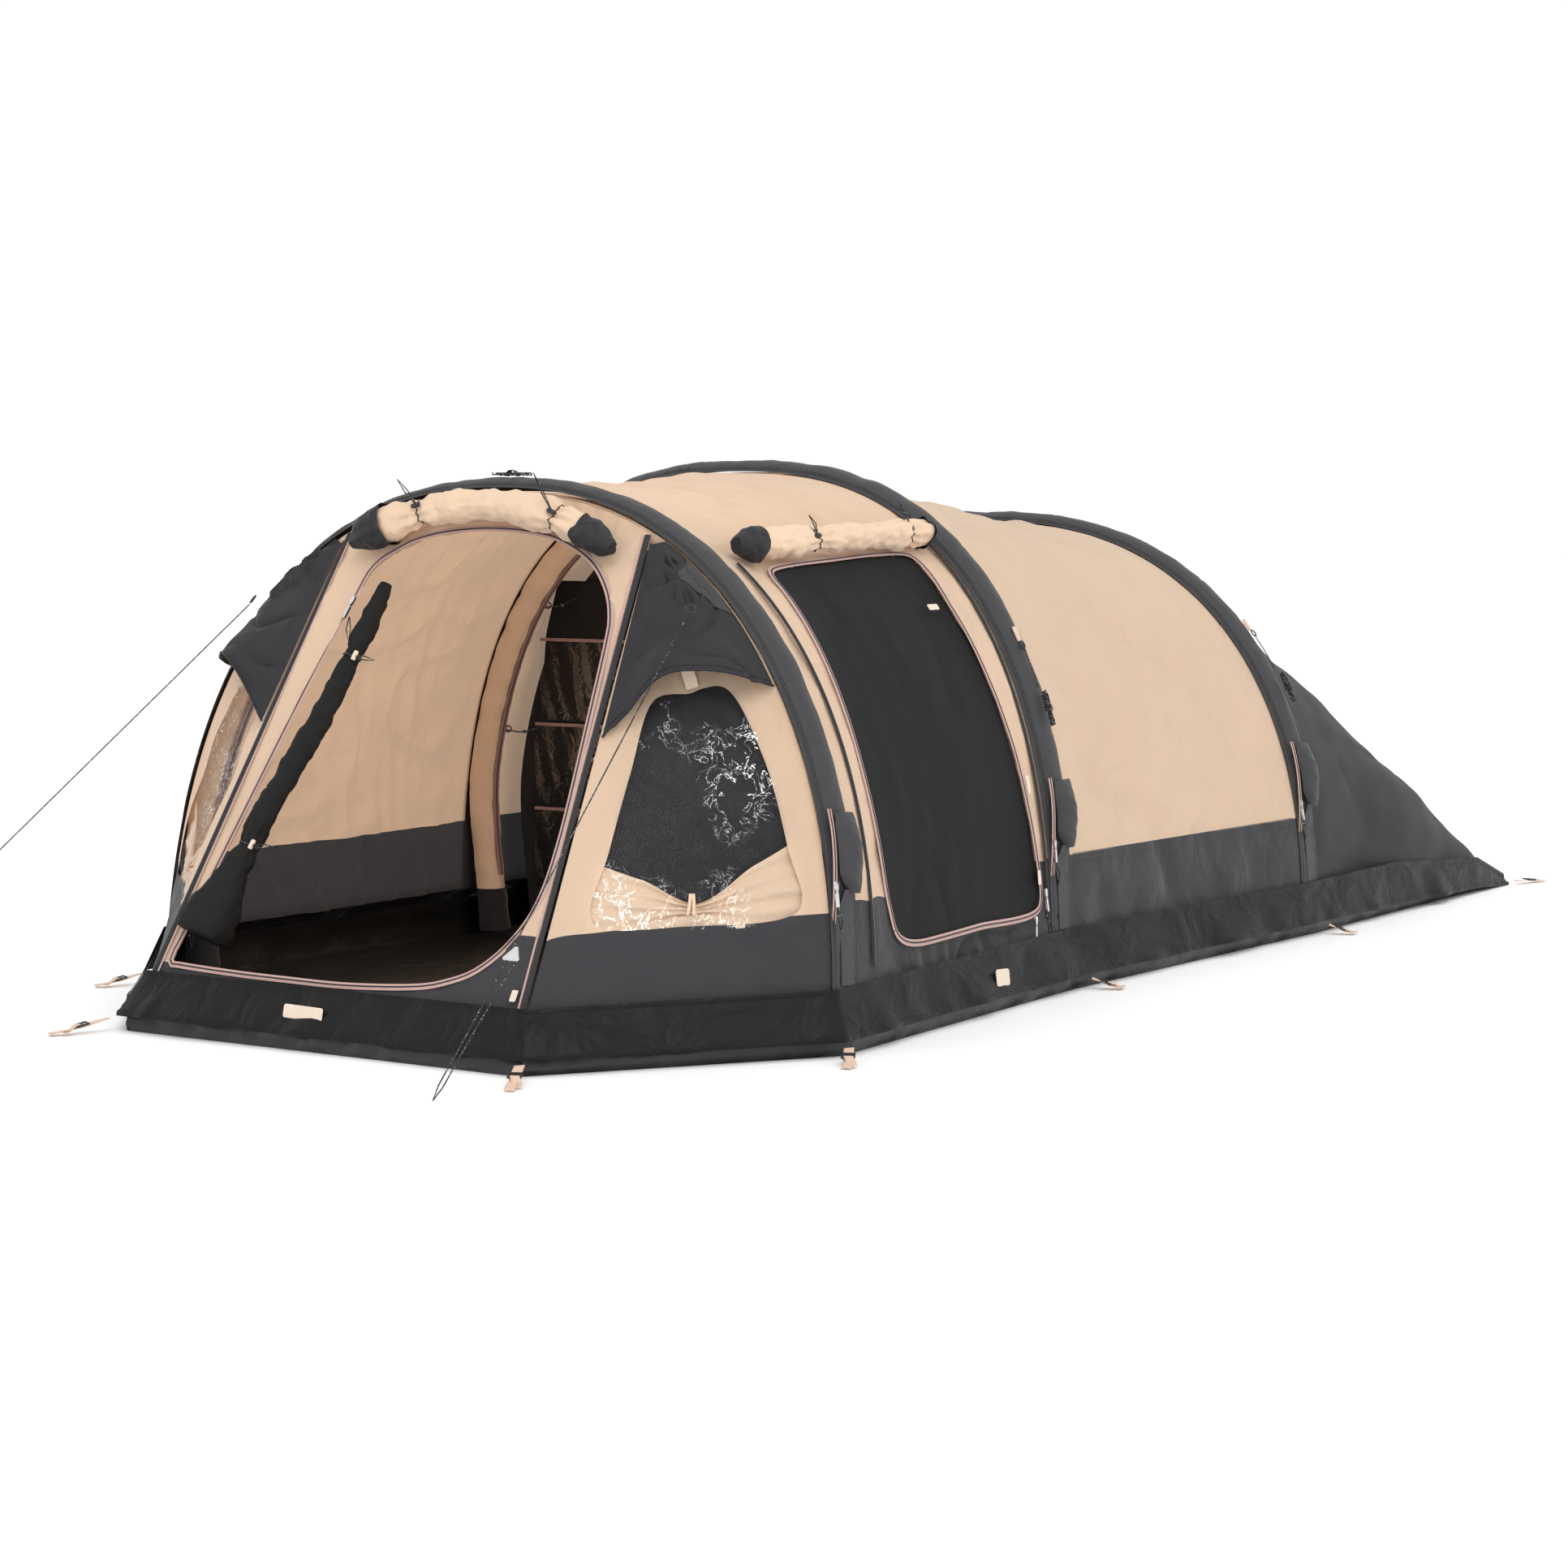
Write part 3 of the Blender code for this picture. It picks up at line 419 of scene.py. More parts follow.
def outward(P, N, centre=None):
    """Turns the normals away from the tent's middle line."""
    c = A3([0, 1.5, 0.3]) if centre is None else A3(centre, float)
    d = P - c
    if centre is None:
        d[..., 1] *= 0.25
    s = np.sign((N * d).sum(-1).mean())
    return N * (s if s else 1)


def area_of(P, close_i=False):
    P = np.asarray(P)
    if close_i:
        P = np.concatenate([P, P[:1]], 0)
    a = P[1:, :-1] - P[:-1, :-1]
    b = P[:-1, 1:] - P[:-1, :-1]
    c = P[1:, 1:] - P[1:, :-1]
    d = P[1:, 1:] - P[:-1, 1:]
    return float((np.linalg.norm(np.cross(a, b), axis=-1) + np.linalg.norm(np.cross(c, d), axis=-1)).sum() / 2)


def frames(pts, up=None):
    """Tangent and two side directions along a line."""
    P = A3([tuple(p) for p in pts], float)
    T = np.gradient(P, axis=0)
    T /= np.linalg.norm(T, axis=1, keepdims=True).clip(1e-9)
    a = A3(up if up is not None else (0, 0, 1), float)
    if abs(a @ T[0]) > 0.95:
        a = A3([1.0, 0, 0])
    A, B = [], []
    for t in T:
        a = a - t * (a @ t)
        a = a / max(np.linalg.norm(a), 1e-9)
        A.append(a.copy())
        B.append(np.cross(t, a))
    return P, T, A3(A), A3(B)


def sweep(bag, pts, r, sides=10, caps=True, mat=0, up=None, flat=1.0, shape=None):
    """Round bar along a line; r may be a list. shape(i, angle) scales the radius."""
    P, T, A, B = frames(pts, up)
    n = len(P)
    R = np.broadcast_to(np.asarray(r, float), (n,))
    F = np.linspace(0, 2 * math.pi, sides, endpoint=False)
    G = np.zeros((n, sides, 3))
    for i in range(n):
        for j, f in enumerate(F):
            k = 1.0 if shape is None else shape(i / (n - 1), f)
            G[i, j] = P[i] + R[i] * k * (math.cos(f) * A[i] * flat + math.sin(f) * B[i])
    bag.grid(G, close_j=True, mat=mat, flip=False)
    if caps:
        bag.cap(G[0], mat, False)
        bag.cap(G[-1], mat, True)
    return G


def strip(bag, pts, nrm, a, b, lift=0.001, crown=0.001, mat=0, thick=0.0, across=5):
    """Tape laid on a surface: from a to b metres sideways of the line, lifted along the surface normal."""
    P = A3([tuple(p) for p in pts], float)
    N = A3([tuple(p) for p in nrm], float)
    N /= np.linalg.norm(N, axis=1, keepdims=True)
    T = np.gradient(P, axis=0)
    T /= np.linalg.norm(T, axis=1, keepdims=True).clip(1e-9)
    S = np.cross(T, N)
    S /= np.linalg.norm(S, axis=1, keepdims=True).clip(1e-9)
    K = np.linspace(0, 1, across)
    G = np.zeros((len(P), across, 3))
    for j, k in enumerate(K):
        h = lift + crown * math.sin(math.pi * k)
        G[:, j] = P + S * (a + (b - a) * k) + N * h
    if thick:
        low = G - N[:, None] * thick
        G = np.concatenate([G, low[:, ::-1]], 1)
        bag.grid(G, close_j=True, mat=mat)
        bag.cap(G[0], mat)
        bag.cap(G[-1], mat, True)
    else:
        bag.grid(G, mat=mat)
    return G


def block(bag, c, u, v, w, su, sv, sw, mat=0, bev=0.25):
    """Rounded block: centre, three directions and full sizes."""
    c, u, v, w = (A3(tuple(x), float) for x in (c, u, v, w))
    u, v, w = (x / np.linalg.norm(x) for x in (u, v, w))
    rows = []
    b = bev * min(su, sv, sw)
    for h, ins in ((-sw / 2, b), (-sw / 2 + b * 0.3, b * 0.3), (-sw / 2 + b, 0), (sw / 2 - b, 0), (sw / 2 - b * 0.3, b * 0.3), (sw / 2, b)):
        ring = []
        x, y = su / 2 - ins, sv / 2 - ins
        k = min(x, y) * 0.35
        for sx, sy, order in ((1, 1, 0), (-1, 1, 1), (-1, -1, 0), (1, -1, 1)):
            pts = [(sx * x, sy * (y - k)), (sx * (x - k * 0.3), sy * (y - k * 0.3)), (sx * (x - k), sy * y)]
            ring += pts[::-1] if order else pts
        rows.append([c + u * px + v * py + w * h for px, py in ring])
    G = A3(rows)
    bag.grid(G, close_j=True, mat=mat)
    bag.cap(G[0], mat)
    bag.cap(G[-1], mat, True)


def torus(bag, c, axis, R, r, seg=20, sides=8, squash=1.0, up=(0, 0, 1), mat=0):
    ax = Vector(axis).normalized()
    a = Vector(up)
    a = (a - ax * a.dot(ax)).normalized()
    b = ax.cross(a)
    G = []
    for i in range(seg):
        f = 2 * math.pi * i / seg
        d = a * math.cos(f) * squash + b * math.sin(f)
        p = Vector(c) + d * R
        rad = (a * math.cos(f) + b * math.sin(f))
        G.append([tuple(p + (rad * math.cos(g) + ax * math.sin(g)) * r) for g in np.linspace(0, 2 * math.pi, sides, endpoint=False)])
    bag.grid(A3(G), close_i=True, close_j=True, mat=mat)


def surf(fn, a, b, side=1, e=2e-3):
    p = fn(a, b)
    n = (fn(a + e, b) - fn(a - e, b)).cross(fn(a, b + e) - fn(a, b - e)).normalized()
    return p, n * side


# ------------------------------------------------------------------ materials
def _n(nt, kind, **kw):
    n = nt.nodes.new(kind)
    for k, v in kw.items():
        if k.startswith("i_"):
            n.inputs[int(k[2:]) if k[2:].isdigit() else k[2:].replace("_", " ")].default_value = v
        else:
            setattr(n, k, v)
    return n


def cloth(name, col, rough=0.85, vary=0.06, sheen=0.15, wrinkle=0.35, scale=7.0, stretch=(1, 1, 1), dark=None, attr=None,
          glow=0.0, spec=0.25, fine=0.25, coat=0.0):
    """Woven cloth: broad colour drift, slubs from the weave, soft wrinkles, and an optional second colour below a seam."""
    m = bpy.data.materials.new(name)
    m.use_nodes = True
    nt = m.node_tree
    b = nt.nodes["Principled BSDF"]
    out = nt.nodes["Material Output"]
    L = nt.links.new
    tc = _n(nt, "ShaderNodeTexCoord")
    mp = _n(nt, "ShaderNodeMapping")
    mp.inputs["Scale"].default_value = stretch
    L(tc.outputs["Object"], mp.inputs["Vector"])
    big = _n(nt, "ShaderNodeTexNoise")
    big.inputs["Scale"].default_value = 1.6
    big.inputs["Detail"].default_value = 3
    L(tc.outputs["Object"], big.inputs["Vector"])
    slub = []
    for sc in ((60, 520, 1), (520, 60, 1)):
        mm = _n(nt, "ShaderNodeMapping")
        mm.inputs["Scale"].default_value = sc
        L(tc.outputs["UV"], mm.inputs["Vector"])
        t = _n(nt, "ShaderNodeTexNoise")
        t.inputs["Scale"].default_value = 1.0
        t.inputs["Detail"].default_value = 2
        L(mm.outputs["Vector"], t.inputs["Vector"])
        slub.append(t)
    weave = _n(nt, "ShaderNodeMath", operation="ADD")
    L(slub[0].outputs["Fac"], weave.inputs[0])
    L(slub[1].outputs["Fac"], weave.inputs[1])
    drift = _n(nt, "ShaderNodeMath", operation="MULTIPLY_ADD")
    L(weave.outputs[0], drift.inputs[0])
    drift.inputs[1].default_value = 0.35
    L(big.outputs["Fac"], drift.inputs[2])
    rng = _n(nt, "ShaderNodeMapRange")
    rng.inputs["From Min"].default_value = 0.55
    rng.inputs["From Max"].default_value = 1.15
    L(drift.outputs[0], rng.inputs["Value"])

    def pair(c):
        mx = _n(nt, "ShaderNodeMix", data_type="RGBA")
        mx.inputs[6].default_value = (*[x * (1 - vary) for x in c], 1)
        mx.inputs[7].default_value = (*[min(1.0, x * (1 + vary)) for x in c], 1)
        L(rng.outputs["Result"], mx.inputs[0])
        return mx.outputs[2]

    colour = pair(col)
    if dark is not None:
        at = _n(nt, "ShaderNodeAttribute", attribute_name=attr)
        gt = _n(nt, "ShaderNodeMath", operation="GREATER_THAN")
        L(at.outputs["Fac"], gt.inputs[0])
        gt.inputs[1].default_value = 0.0
        mx = _n(nt, "ShaderNodeMix", data_type="RGBA")
        L(gt.outputs[0], mx.inputs[0])
        L(pair(dark), mx.inputs[6])
        L(colour, mx.inputs[7])
        colour = mx.outputs[2]
    L(colour, b.inputs["Base Color"])
    b.inputs["Specular IOR Level"].default_value = spec
    b.inputs["Sheen Weight"].default_value = sheen
    b.inputs["Sheen Roughness"].default_value = 0.5
    if coat:
        b.inputs["Coat Weight"].default_value = coat
        b.inputs["Coat Roughness"].default_value = 0.25
    rr = _n(nt, "ShaderNodeMapRange")
    rr.inputs["To Min"].default_value = rough - 0.07
    rr.inputs["To Max"].default_value = min(rough + 0.07, 1)
    L(weave.outputs[0], rr.inputs["Value"])
    rr.inputs["From Min"].default_value = 0.6
    rr.inputs["From Max"].default_value = 1.4
    L(rr.outputs["Result"], b.inputs["Roughness"])
    wr = _n(nt, "ShaderNodeTexNoise")
    wr.inputs["Scale"].default_value = scale
    wr.inputs["Detail"].default_value = 3
    wr.inputs["Distortion"].default_value = 0.6
    L(mp.outputs["Vector"], wr.inputs["Vector"])
    b1 = _n(nt, "ShaderNodeBump")
    b1.inputs["Strength"].default_value = wrinkle
    b1.inputs["Distance"].default_value = 0.02
    L(wr.outputs["Fac"], b1.inputs["Height"])
    b2 = _n(nt, "ShaderNodeBump")
    b2.inputs["Strength"].default_value = fine
    b2.inputs["Distance"].default_value = 0.0006
    L(weave.outputs[0], b2.inputs["Height"])
    L(b1.outputs["Normal"], b2.inputs["Normal"])
    L(b2.outputs["Normal"], b.inputs["Normal"])
    if glow:
        tr = _n(nt, "ShaderNodeBsdfTranslucent")
        L(colour, tr.inputs["Color"])
        ms = _n(nt, "ShaderNodeMixShader")
        ms.inputs[0].default_value = glow
        L(b.outputs[0], ms.inputs[1])
        L(tr.outputs[0], ms.inputs[2])
        L(ms.outputs[0], out.inputs["Surface"])
    return m


BEIGE_C, DARK_C, BLACK_C = (0.790, 0.585, 0.420), (0.056, 0.055, 0.061), (0.012, 0.012, 0.012)
DARK_SIDE = (0.025, 0.025, 0.0252)
DARK_H, DARK_S = (0.018, 0.0175, 0.0205), (0.040, 0.039, 0.042)
TAN = cloth("polycotton_tan", BEIGE_C, 0.9, 0.055, 0.2, 0.95, 6.0, dark=DARK_C, attr="light", glow=0.30)
TAN_LOOSE = cloth("polycotton_tan_rolled", (0.77, 0.565, 0.40), 0.9, 0.06, 0.25, 0.5, 14.0, glow=0.10)
DARKC = cloth("polyester_charcoal", DARK_H, 0.62, 0.14, 0.04, 0.95, 8.0, spec=0.30)
DARKS = cloth("polyester_charcoal_sleeve", DARK_S, 0.60, 0.12, 0.05, 0.75, 9.0, spec=0.30)
TAILM = cloth("polyester_charcoal_tail", DARK_SIDE, 0.64, 0.12, 0.03, 0.75, 4.0, stretch=(1, 0.35, 1), spec=0.22)
SKIRTM = cloth("coated_skirt", (0.0065, 0.0065, 0.0065), 0.42, 0.18, 0.0, 1.0, 9.0, stretch=(1, 0.5, 1), spec=0.17)
FLOORM = cloth("coated_floor", BLACK_C, 0.38, 0.2, 0.0, 0.7, 6.0, spec=0.5)
MESHM = cloth("door_mesh", (0.009, 0.009, 0.009), 0.80, 0.15, 0.0, 0.65, 5.0, stretch=(1, 1, 0.4), fine=0.5)
INNERM = cloth("inner_tent_cloth", (0.020, 0.019, 0.021), 0.8, 0.15, 0.02, 0.4, 6.0)
SLEEVE_IN = cloth("sleeve_lining", (0.76, 0.56, 0.40), 0.85, 0.05, 0.2, 0.35, 16.0, stretch=(1, 1, 0.6), dark=(0.02, 0.02, 0.024), attr="light", glow=0.12)
PINK = cloth("zip_tape_pink", (0.48, 0.315, 0.28), 0.75, 0.10, 0.2, 0.2, 30.0, fine=0.6)
MAUVE = cloth("zip_tape_mauve", (0.30, 0.19, 0.18), 0.75, 0.12, 0.2, 0.2, 30.0, fine=0.6)
BLACKTAPE = cloth("piping_black", (0.022, 0.021, 0.024), 0.6, 0.15, 0.1, 0.15, 30.0, fine=0.6)
WEBM = cloth("webbing_tan", (0.66, 0.47, 0.35), 0.85, 0.12, 0.25, 0.2, 25.0, fine=0.9)
TAGM = cloth("blank_label", (0.72, 0.60, 0.50), 0.7, 0.06, 0.1, 0.15, 20.0)
LOOPM = cloth("loop_tape", (0.74, 0.60, 0.47), 0.8, 0.08, 0.2, 0.2, 25.0)


def plastic(name, col, rough, metal=0.0, bump=0.15, scale=60.0, spec=0.5):
    m = bpy.data.materials.new(name)
    m.use_nodes = True
    nt = m.node_tree
    b = nt.nodes["Principled BSDF"]
    L = nt.links.new
    tc = _n(nt, "ShaderNodeTexCoord")
    t = _n(nt, "ShaderNodeTexNoise")
    t.inputs["Scale"].default_value = scale
    t.inputs["Detail"].default_value = 4
    L(tc.outputs["Object"], t.inputs["Vector"])
    mx = _n(nt, "ShaderNodeMix", data_type="RGBA")
    mx.inputs[6].default_value = (*[x * 0.85 for x in col], 1)
    mx.inputs[7].default_value = (*[min(1, x * 1.12) for x in col], 1)
    L(t.outputs["Fac"], mx.inputs[0])
    L(mx.outputs[2], b.inputs["Base Color"])
    rr = _n(nt, "ShaderNodeMapRange")
    rr.inputs["To Min"].default_value = max(rough - 0.08, 0.02)
    rr.inputs["To Max"].default_value = rough + 0.1
    L(t.outputs["Fac"], rr.inputs["Value"])
    L(rr.outputs["Result"], b.inputs["Roughness"])
    b.inputs["Metallic"].default_value = metal
    b.inputs["Specular IOR Level"].default_value = spec
    bp = _n(nt, "ShaderNodeBump")
    bp.inputs["Strength"].default_value = bump
    bp.inputs["Distance"].default_value = 0.0008
    L(t.outputs["Fac"], bp.inputs["Height"])
    L(bp.outputs["Normal"], b.inputs["Normal"])
    return m


HARD = plastic("moulded_black", (0.018, 0.018, 0.020), 0.42)
STEEL = plastic("plated_steel", (0.72, 0.72, 0.74), 0.26, 1.0, 0.08)
FILM = plastic("beam_film", (0.60, 0.60, 0.58), 0.35)


def cord_mat(name):
    """Braided cord with pale flecks."""
    m = bpy.data.materials.new(name)
    m.use_nodes = True
    nt = m.node_tree
    b = nt.nodes["Principled BSDF"]
    L = nt.links.new
    tc = _n(nt, "ShaderNodeTexCoord")
    t = _n(nt, "ShaderNodeTexVoronoi")
    t.inputs["Scale"].default_value = 190.0
    L(tc.outputs["Object"], t.inputs["Vector"])
    gt = _n(nt, "ShaderNodeMapRange")
    gt.inputs["From Min"].default_value = 0.28
    gt.inputs["From Max"].default_value = 0.20
    L(t.outputs["Distance"], gt.inputs["Value"])
    mx = _n(nt, "ShaderNodeMix", data_type="RGBA")
    mx.inputs[6].default_value = (0.016, 0.016, 0.017, 1)
    mx.inputs[7].default_value = (0.42, 0.42, 0.41, 1)
    L(gt.outputs["Result"], mx.inputs[0])
    L(mx.outputs[2], b.inputs["Base Color"])
    w = _n(nt, "ShaderNodeTexNoise")
    w.inputs["Scale"].default_value = 420.0
    L(tc.outputs["Object"], w.inputs["Vector"])
    rr = _n(nt, "ShaderNodeMapRange")
    rr.inputs["To Min"].default_value = 0.6
    rr.inputs["To Max"].default_value = 0.85
    L(w.outputs["Fac"], rr.inputs["Value"])
    L(rr.outputs["Result"], b.inputs["Roughness"])
    bp = _n(nt, "ShaderNodeBump")
    bp.inputs["Strength"].default_value = 0.6
    bp.inputs["Distance"].default_value = 0.001
    L(w.outputs["Fac"], bp.inputs["Height"])
    L(bp.outputs["Normal"], b.inputs["Normal"])
    return m


CORDM = cord_mat("cord_flecked")


def pvc_mat(name, fac=0.10):
    m = bpy.data.materials.new(name)
    m.use_nodes = True
    nt = m.node_tree
    nt.nodes.remove(nt.nodes["Principled BSDF"])
    out = nt.nodes["Material Output"]
    L = nt.links.new
    tc = _n(nt, "ShaderNodeTexCoord")
    n1 = _n(nt, "ShaderNodeTexNoise")
    n1.inputs["Scale"].default_value = 22.0
    n1.inputs["Detail"].default_value = 4
    n1.inputs["Distortion"].default_value = 1.2
    L(tc.outputs["Object"], n1.inputs["Vector"])
    bp = _n(nt, "ShaderNodeBump")
    bp.inputs["Strength"].default_value = 0.55
    bp.inputs["Distance"].default_value = 0.012
    L(n1.outputs["Fac"], bp.inputs["Height"])
    gl = _n(nt, "ShaderNodeBsdfGlossy")
    gl.inputs["Color"].default_value = (1, 1, 1, 1)
    rr = _n(nt, "ShaderNodeMapRange")
    rr.inputs["To Min"].default_value = 0.03
    rr.inputs["To Max"].default_value = 0.12
    L(n1.outputs["Fac"], rr.inputs["Value"])
    L(rr.outputs["Result"], gl.inputs["Roughness"])
    L(bp.outputs["Normal"], gl.inputs["Normal"])
    tr = _n(nt, "ShaderNodeBsdfTransparent")
    tr.inputs["Color"].default_value = (0.93, 0.94, 0.95, 1)
    fr = _n(nt, "ShaderNodeFresnel")
    fr.inputs["IOR"].default_value = 1.5
    L(bp.outputs["Normal"], fr.inputs["Normal"])
    ad = _n(nt, "ShaderNodeMath", operation="MULTIPLY_ADD")
    L(fr.outputs[0], ad.inputs[0])
    ad.inputs[1].default_value = 0.12
    ad.inputs[2].default_value = 0.0
    # Crinkle highlights: thin lines along Voronoi cell edges, kept to broad noise patches, raise the glossy weight.
    # These are painted highlights laid on the film, not highlights that come from its shape.
    cr = _n(nt, "ShaderNodeTexVoronoi", feature="DISTANCE_TO_EDGE")
    cr.inputs["Scale"].default_value = 17.0
    mp = _n(nt, "ShaderNodeMapping")
    mp.inputs["Scale"].default_value = (1.0, 1.0, 0.55)
    mp.inputs["Rotation"].default_value = (0.3, 0.5, 0.6)
    bent = _n(nt, "ShaderNodeMix", data_type="VECTOR")
    bent.inputs[0].default_value = 0.16
    L(tc.outputs["Object"], bent.inputs[4])
    L(n1.outputs["Color"], bent.inputs[5])
    L(bent.outputs[1], mp.inputs["Vector"])
    L(mp.outputs["Vector"], cr.inputs["Vector"])
    wh = _n(nt, "ShaderNodeTexNoise")
    wh.inputs["Scale"].default_value = 3.2
    L(tc.outputs["Object"], wh.inputs["Vector"])
    painted_highlight_patches = _n(nt, "ShaderNodeMapRange")
    painted_highlight_patches.inputs["From Min"].default_value = 0.46
    painted_highlight_patches.inputs["From Max"].default_value = 0.64
    L(wh.outputs["Fac"], painted_highlight_patches.inputs["Value"])
    painted_highlight_lines = _n(nt, "ShaderNodeMapRange")
    painted_highlight_lines.inputs["From Min"].default_value = 0.030
    painted_highlight_lines.inputs["From Max"].default_value = 0.004
    L(cr.outputs["Distance"], painted_highlight_lines.inputs["Value"])
    cx = _n(nt, "ShaderNodeMath", operation="MULTIPLY")
    L(painted_highlight_lines.outputs["Result"], cx.inputs[0])
    L(painted_highlight_patches.outputs["Result"], cx.inputs[1])
    # glossy weight: the Fresnel reflection plus the painted highlight lines
    glossy_weight_with_painted_highlights = _n(nt, "ShaderNodeMath", operation="MULTIPLY_ADD")
    glossy_weight_with_painted_highlights.use_clamp = True
    L(cx.outputs[0], glossy_weight_with_painted_highlights.inputs[0])
    glossy_weight_with_painted_highlights.inputs[1].default_value = 0.70
    L(ad.outputs[0], glossy_weight_with_painted_highlights.inputs[2])
    ms = _n(nt, "ShaderNodeMixShader")
    L(glossy_weight_with_painted_highlights.outputs[0], ms.inputs[0])
    L(tr.outputs[0], ms.inputs[1])
    L(gl.outputs[0], ms.inputs[2])
    L(ms.outputs[0], out.inputs["Surface"])
    return m


PVCM = pvc_mat("clear_pvc")

# ------------------------------------------------------------------ helpers for cloth panels
SHEETS = []


def panel(name, P, mats, nodes, attr=None, close_i=False, held="stretched", rests=(), disp=None, body="tent", flip=False, uv=None, keep_edge=True, area_P=None, declare=True):
    """One sheet of cloth from a grid of points: displaced along its normals, put in the scene and declared."""
    P = np.asarray(P, float)
    a = area_of(P, close_i)
    N = outward(P, normals(P if not close_i else P))
    if disp is not None:
        D = disp(P)
        P = P + N * D[..., None]
    bag = Bag(name, mats, body)
    bag.grid(P, close_i=close_i, att=attr, uv=uv)
    ob = bag.make(attr="light" if attr is not None else None)
    if nodes:
        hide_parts(*nodes)
    if declare:
        flat = P.reshape(-1, 3)
        SHEETS.append((ob, a, held, rests))
    return ob


def declare_sheet(area, flat):
    w, l = flat
    k = area / (w * l)
    if k > 1.0:
        w, l = w * math.sqrt(k * 1.001), l * math.sqrt(k * 1.001)
        k = area / (w * l)
    if k < 0.32:
        # a narrow surround is cut as a strip as long as its outline
        w = area / l


def P3(fn, U, V):
    return A3([[tuple(fn(u, v)) for v in V] for u in U], float)


def smoothstep(x, a, b):
    t = np.clip((np.asarray(x, float) - a) / (b - a), 0, 1)
    return t * t * (3 - 2 * t)


# ------------------------------------------------------------------ fly of the two bays
def sag(u, a=0.012):
    return -a * 4 * u * (1 - u)


def bay_disp(P, seed, amp=0.006, edge_u=None):
    d = 1.3 * amp * waves(P, 0.55, seed, ax=(1, 1.3, 1)) + 0.0050 * waves(P, 0.16, seed + 1, ax=(1, 1.6, 0.8)) - 0.014 * creases(P, 0.5, seed + 2, ax=(1, 1, 1.0), sharp=6)
    return d


def fade(n, k=5):
    x = np.arange(n)
    return np.minimum(1, np.minimum(x, n - 1 - x) / k)


# rear bay
U, V = np.linspace(0, 1, 44), np.linspace(S0B, 1 - S0B, 170)
P = P3(lambda u, s: bay("middle", "rear", u, s), U, V)
att = np.minimum(V, 1 - V)[None, :] - S_SEAM + 0 * U[:, None]
fu = fade(44, 6)[:, None]
ob = panel("fly_rear_bay", P, TAN, ["fly_bay_rear"], att, disp=lambda Q: (bay_disp(Q, 11) + sag(U, 0.016)[:, None]) * fu, declare=False)
declare_sheet(area_of(P), (1.33, 4.15))

# front bay, with the side door's opening
def bay1(u, s):
    return bay("front", "middle", u, s)


door_c, door_box = (0.52, 0.215), (0.0, 1.0, S0, S_SPLIT)
fs = ring_angles(door_c, door_box, 190)
K = 14
R1 = []
for f in fs:
    ri, ro = star(SIDE_S, door_c, f), box_ray(door_c, door_box, f)
    R1.append([(door_c[0] + math.cos(f) * (ri + (ro - ri) * k / K), door_c[1] + math.sin(f) * (ri + (ro - ri) * k / K)) for k in range(K + 1)])
tops = sorted((r[-1][0], i) for i, r in enumerate(R1) if abs(r[-1][1] - S_SPLIT) < 1e-9)
PR = A3([[tuple(bay1(*q)) for q in r] for r in R1])
UR = A3([[q[0] for q in r] for r in R1])
SR = A3([[q[1] for q in r] for r in R1])
TU = A3([t[0] for t in tops])
SV = np.linspace(S_SPLIT, 1 - S0, 120)
PT = A3([[tuple(bay1(u, s)) for s in SV] for u in TU])


def bay1_disp(Pq, Uq):
    k = np.minimum(1, np.minimum(Uq, 1 - Uq) / 0.12).clip(0, 1)
    return (bay_disp(Pq, 31, 0.005) - 0.010 * 4 * Uq * (1 - Uq)) * k


def unit_out(P, Uq, Sq, fn):
    """Normals of a bay surface at parameters, pointing out."""
    N = np.zeros_like(P)
    flat = N.reshape(-1, 3)
    for i, (u, s) in enumerate(zip(Uq.reshape(-1), Sq.reshape(-1))):
        u0, s0 = min(max(u, 0.002), 0.998), s
        a = fn(u0 + 0.002, s0) - fn(u0 - 0.002, s0)
        b = fn(u0, s0 + 0.002) - fn(u0, s0 - 0.002)
        n = a.cross(b).normalized()
        flat[i] = n
    c = P - A3([0, 0, 0.3])
    c[..., 1] = 0
    sg = np.sign((N * c).sum(-1, keepdims=True))
    return N * sg


NR, NT = unit_out(PR, UR, SR, bay1), unit_out(PT, TU[:, None] + 0 * SV[None], 0 * TU[:, None] + SV[None], bay1)
near_door = smoothstep(np.arange(K + 1) / K, 0.0, 0.5)[None, :]
DR = bay1_disp(PR, UR)
DR = DR * (0.35 + 0.65 * near_door) 
PR2, PT2 = PR + NR * DR[..., None], PT + NT * bay1_disp(PT, TU[:, None] + 0 * SV[None])[..., None]
bag = Bag("fly_front_bay", TAN)
bag.grid(PR2, close_i=True, att=SR - S_SEAM)
# the shared row is taken from the ring so that the sheet stays whole
ring_rows = {i: k for k, (_, i) in enumerate(tops)}
for i, k in ring_rows.items():
    PT2[k, 0] = PR2[i, -1]
bag.grid(PT2, att=np.minimum(SV, 1 - SV)[None, :] - S_SEAM + 0 * TU[:, None], flip=True)
fly1 = bag.make(attr="light", weld=1e-5)
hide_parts("fly_bay_front")
a1 = area_of(PR, True) + area_of(PT)
declare_sheet(a1, (1.16, 4.2))


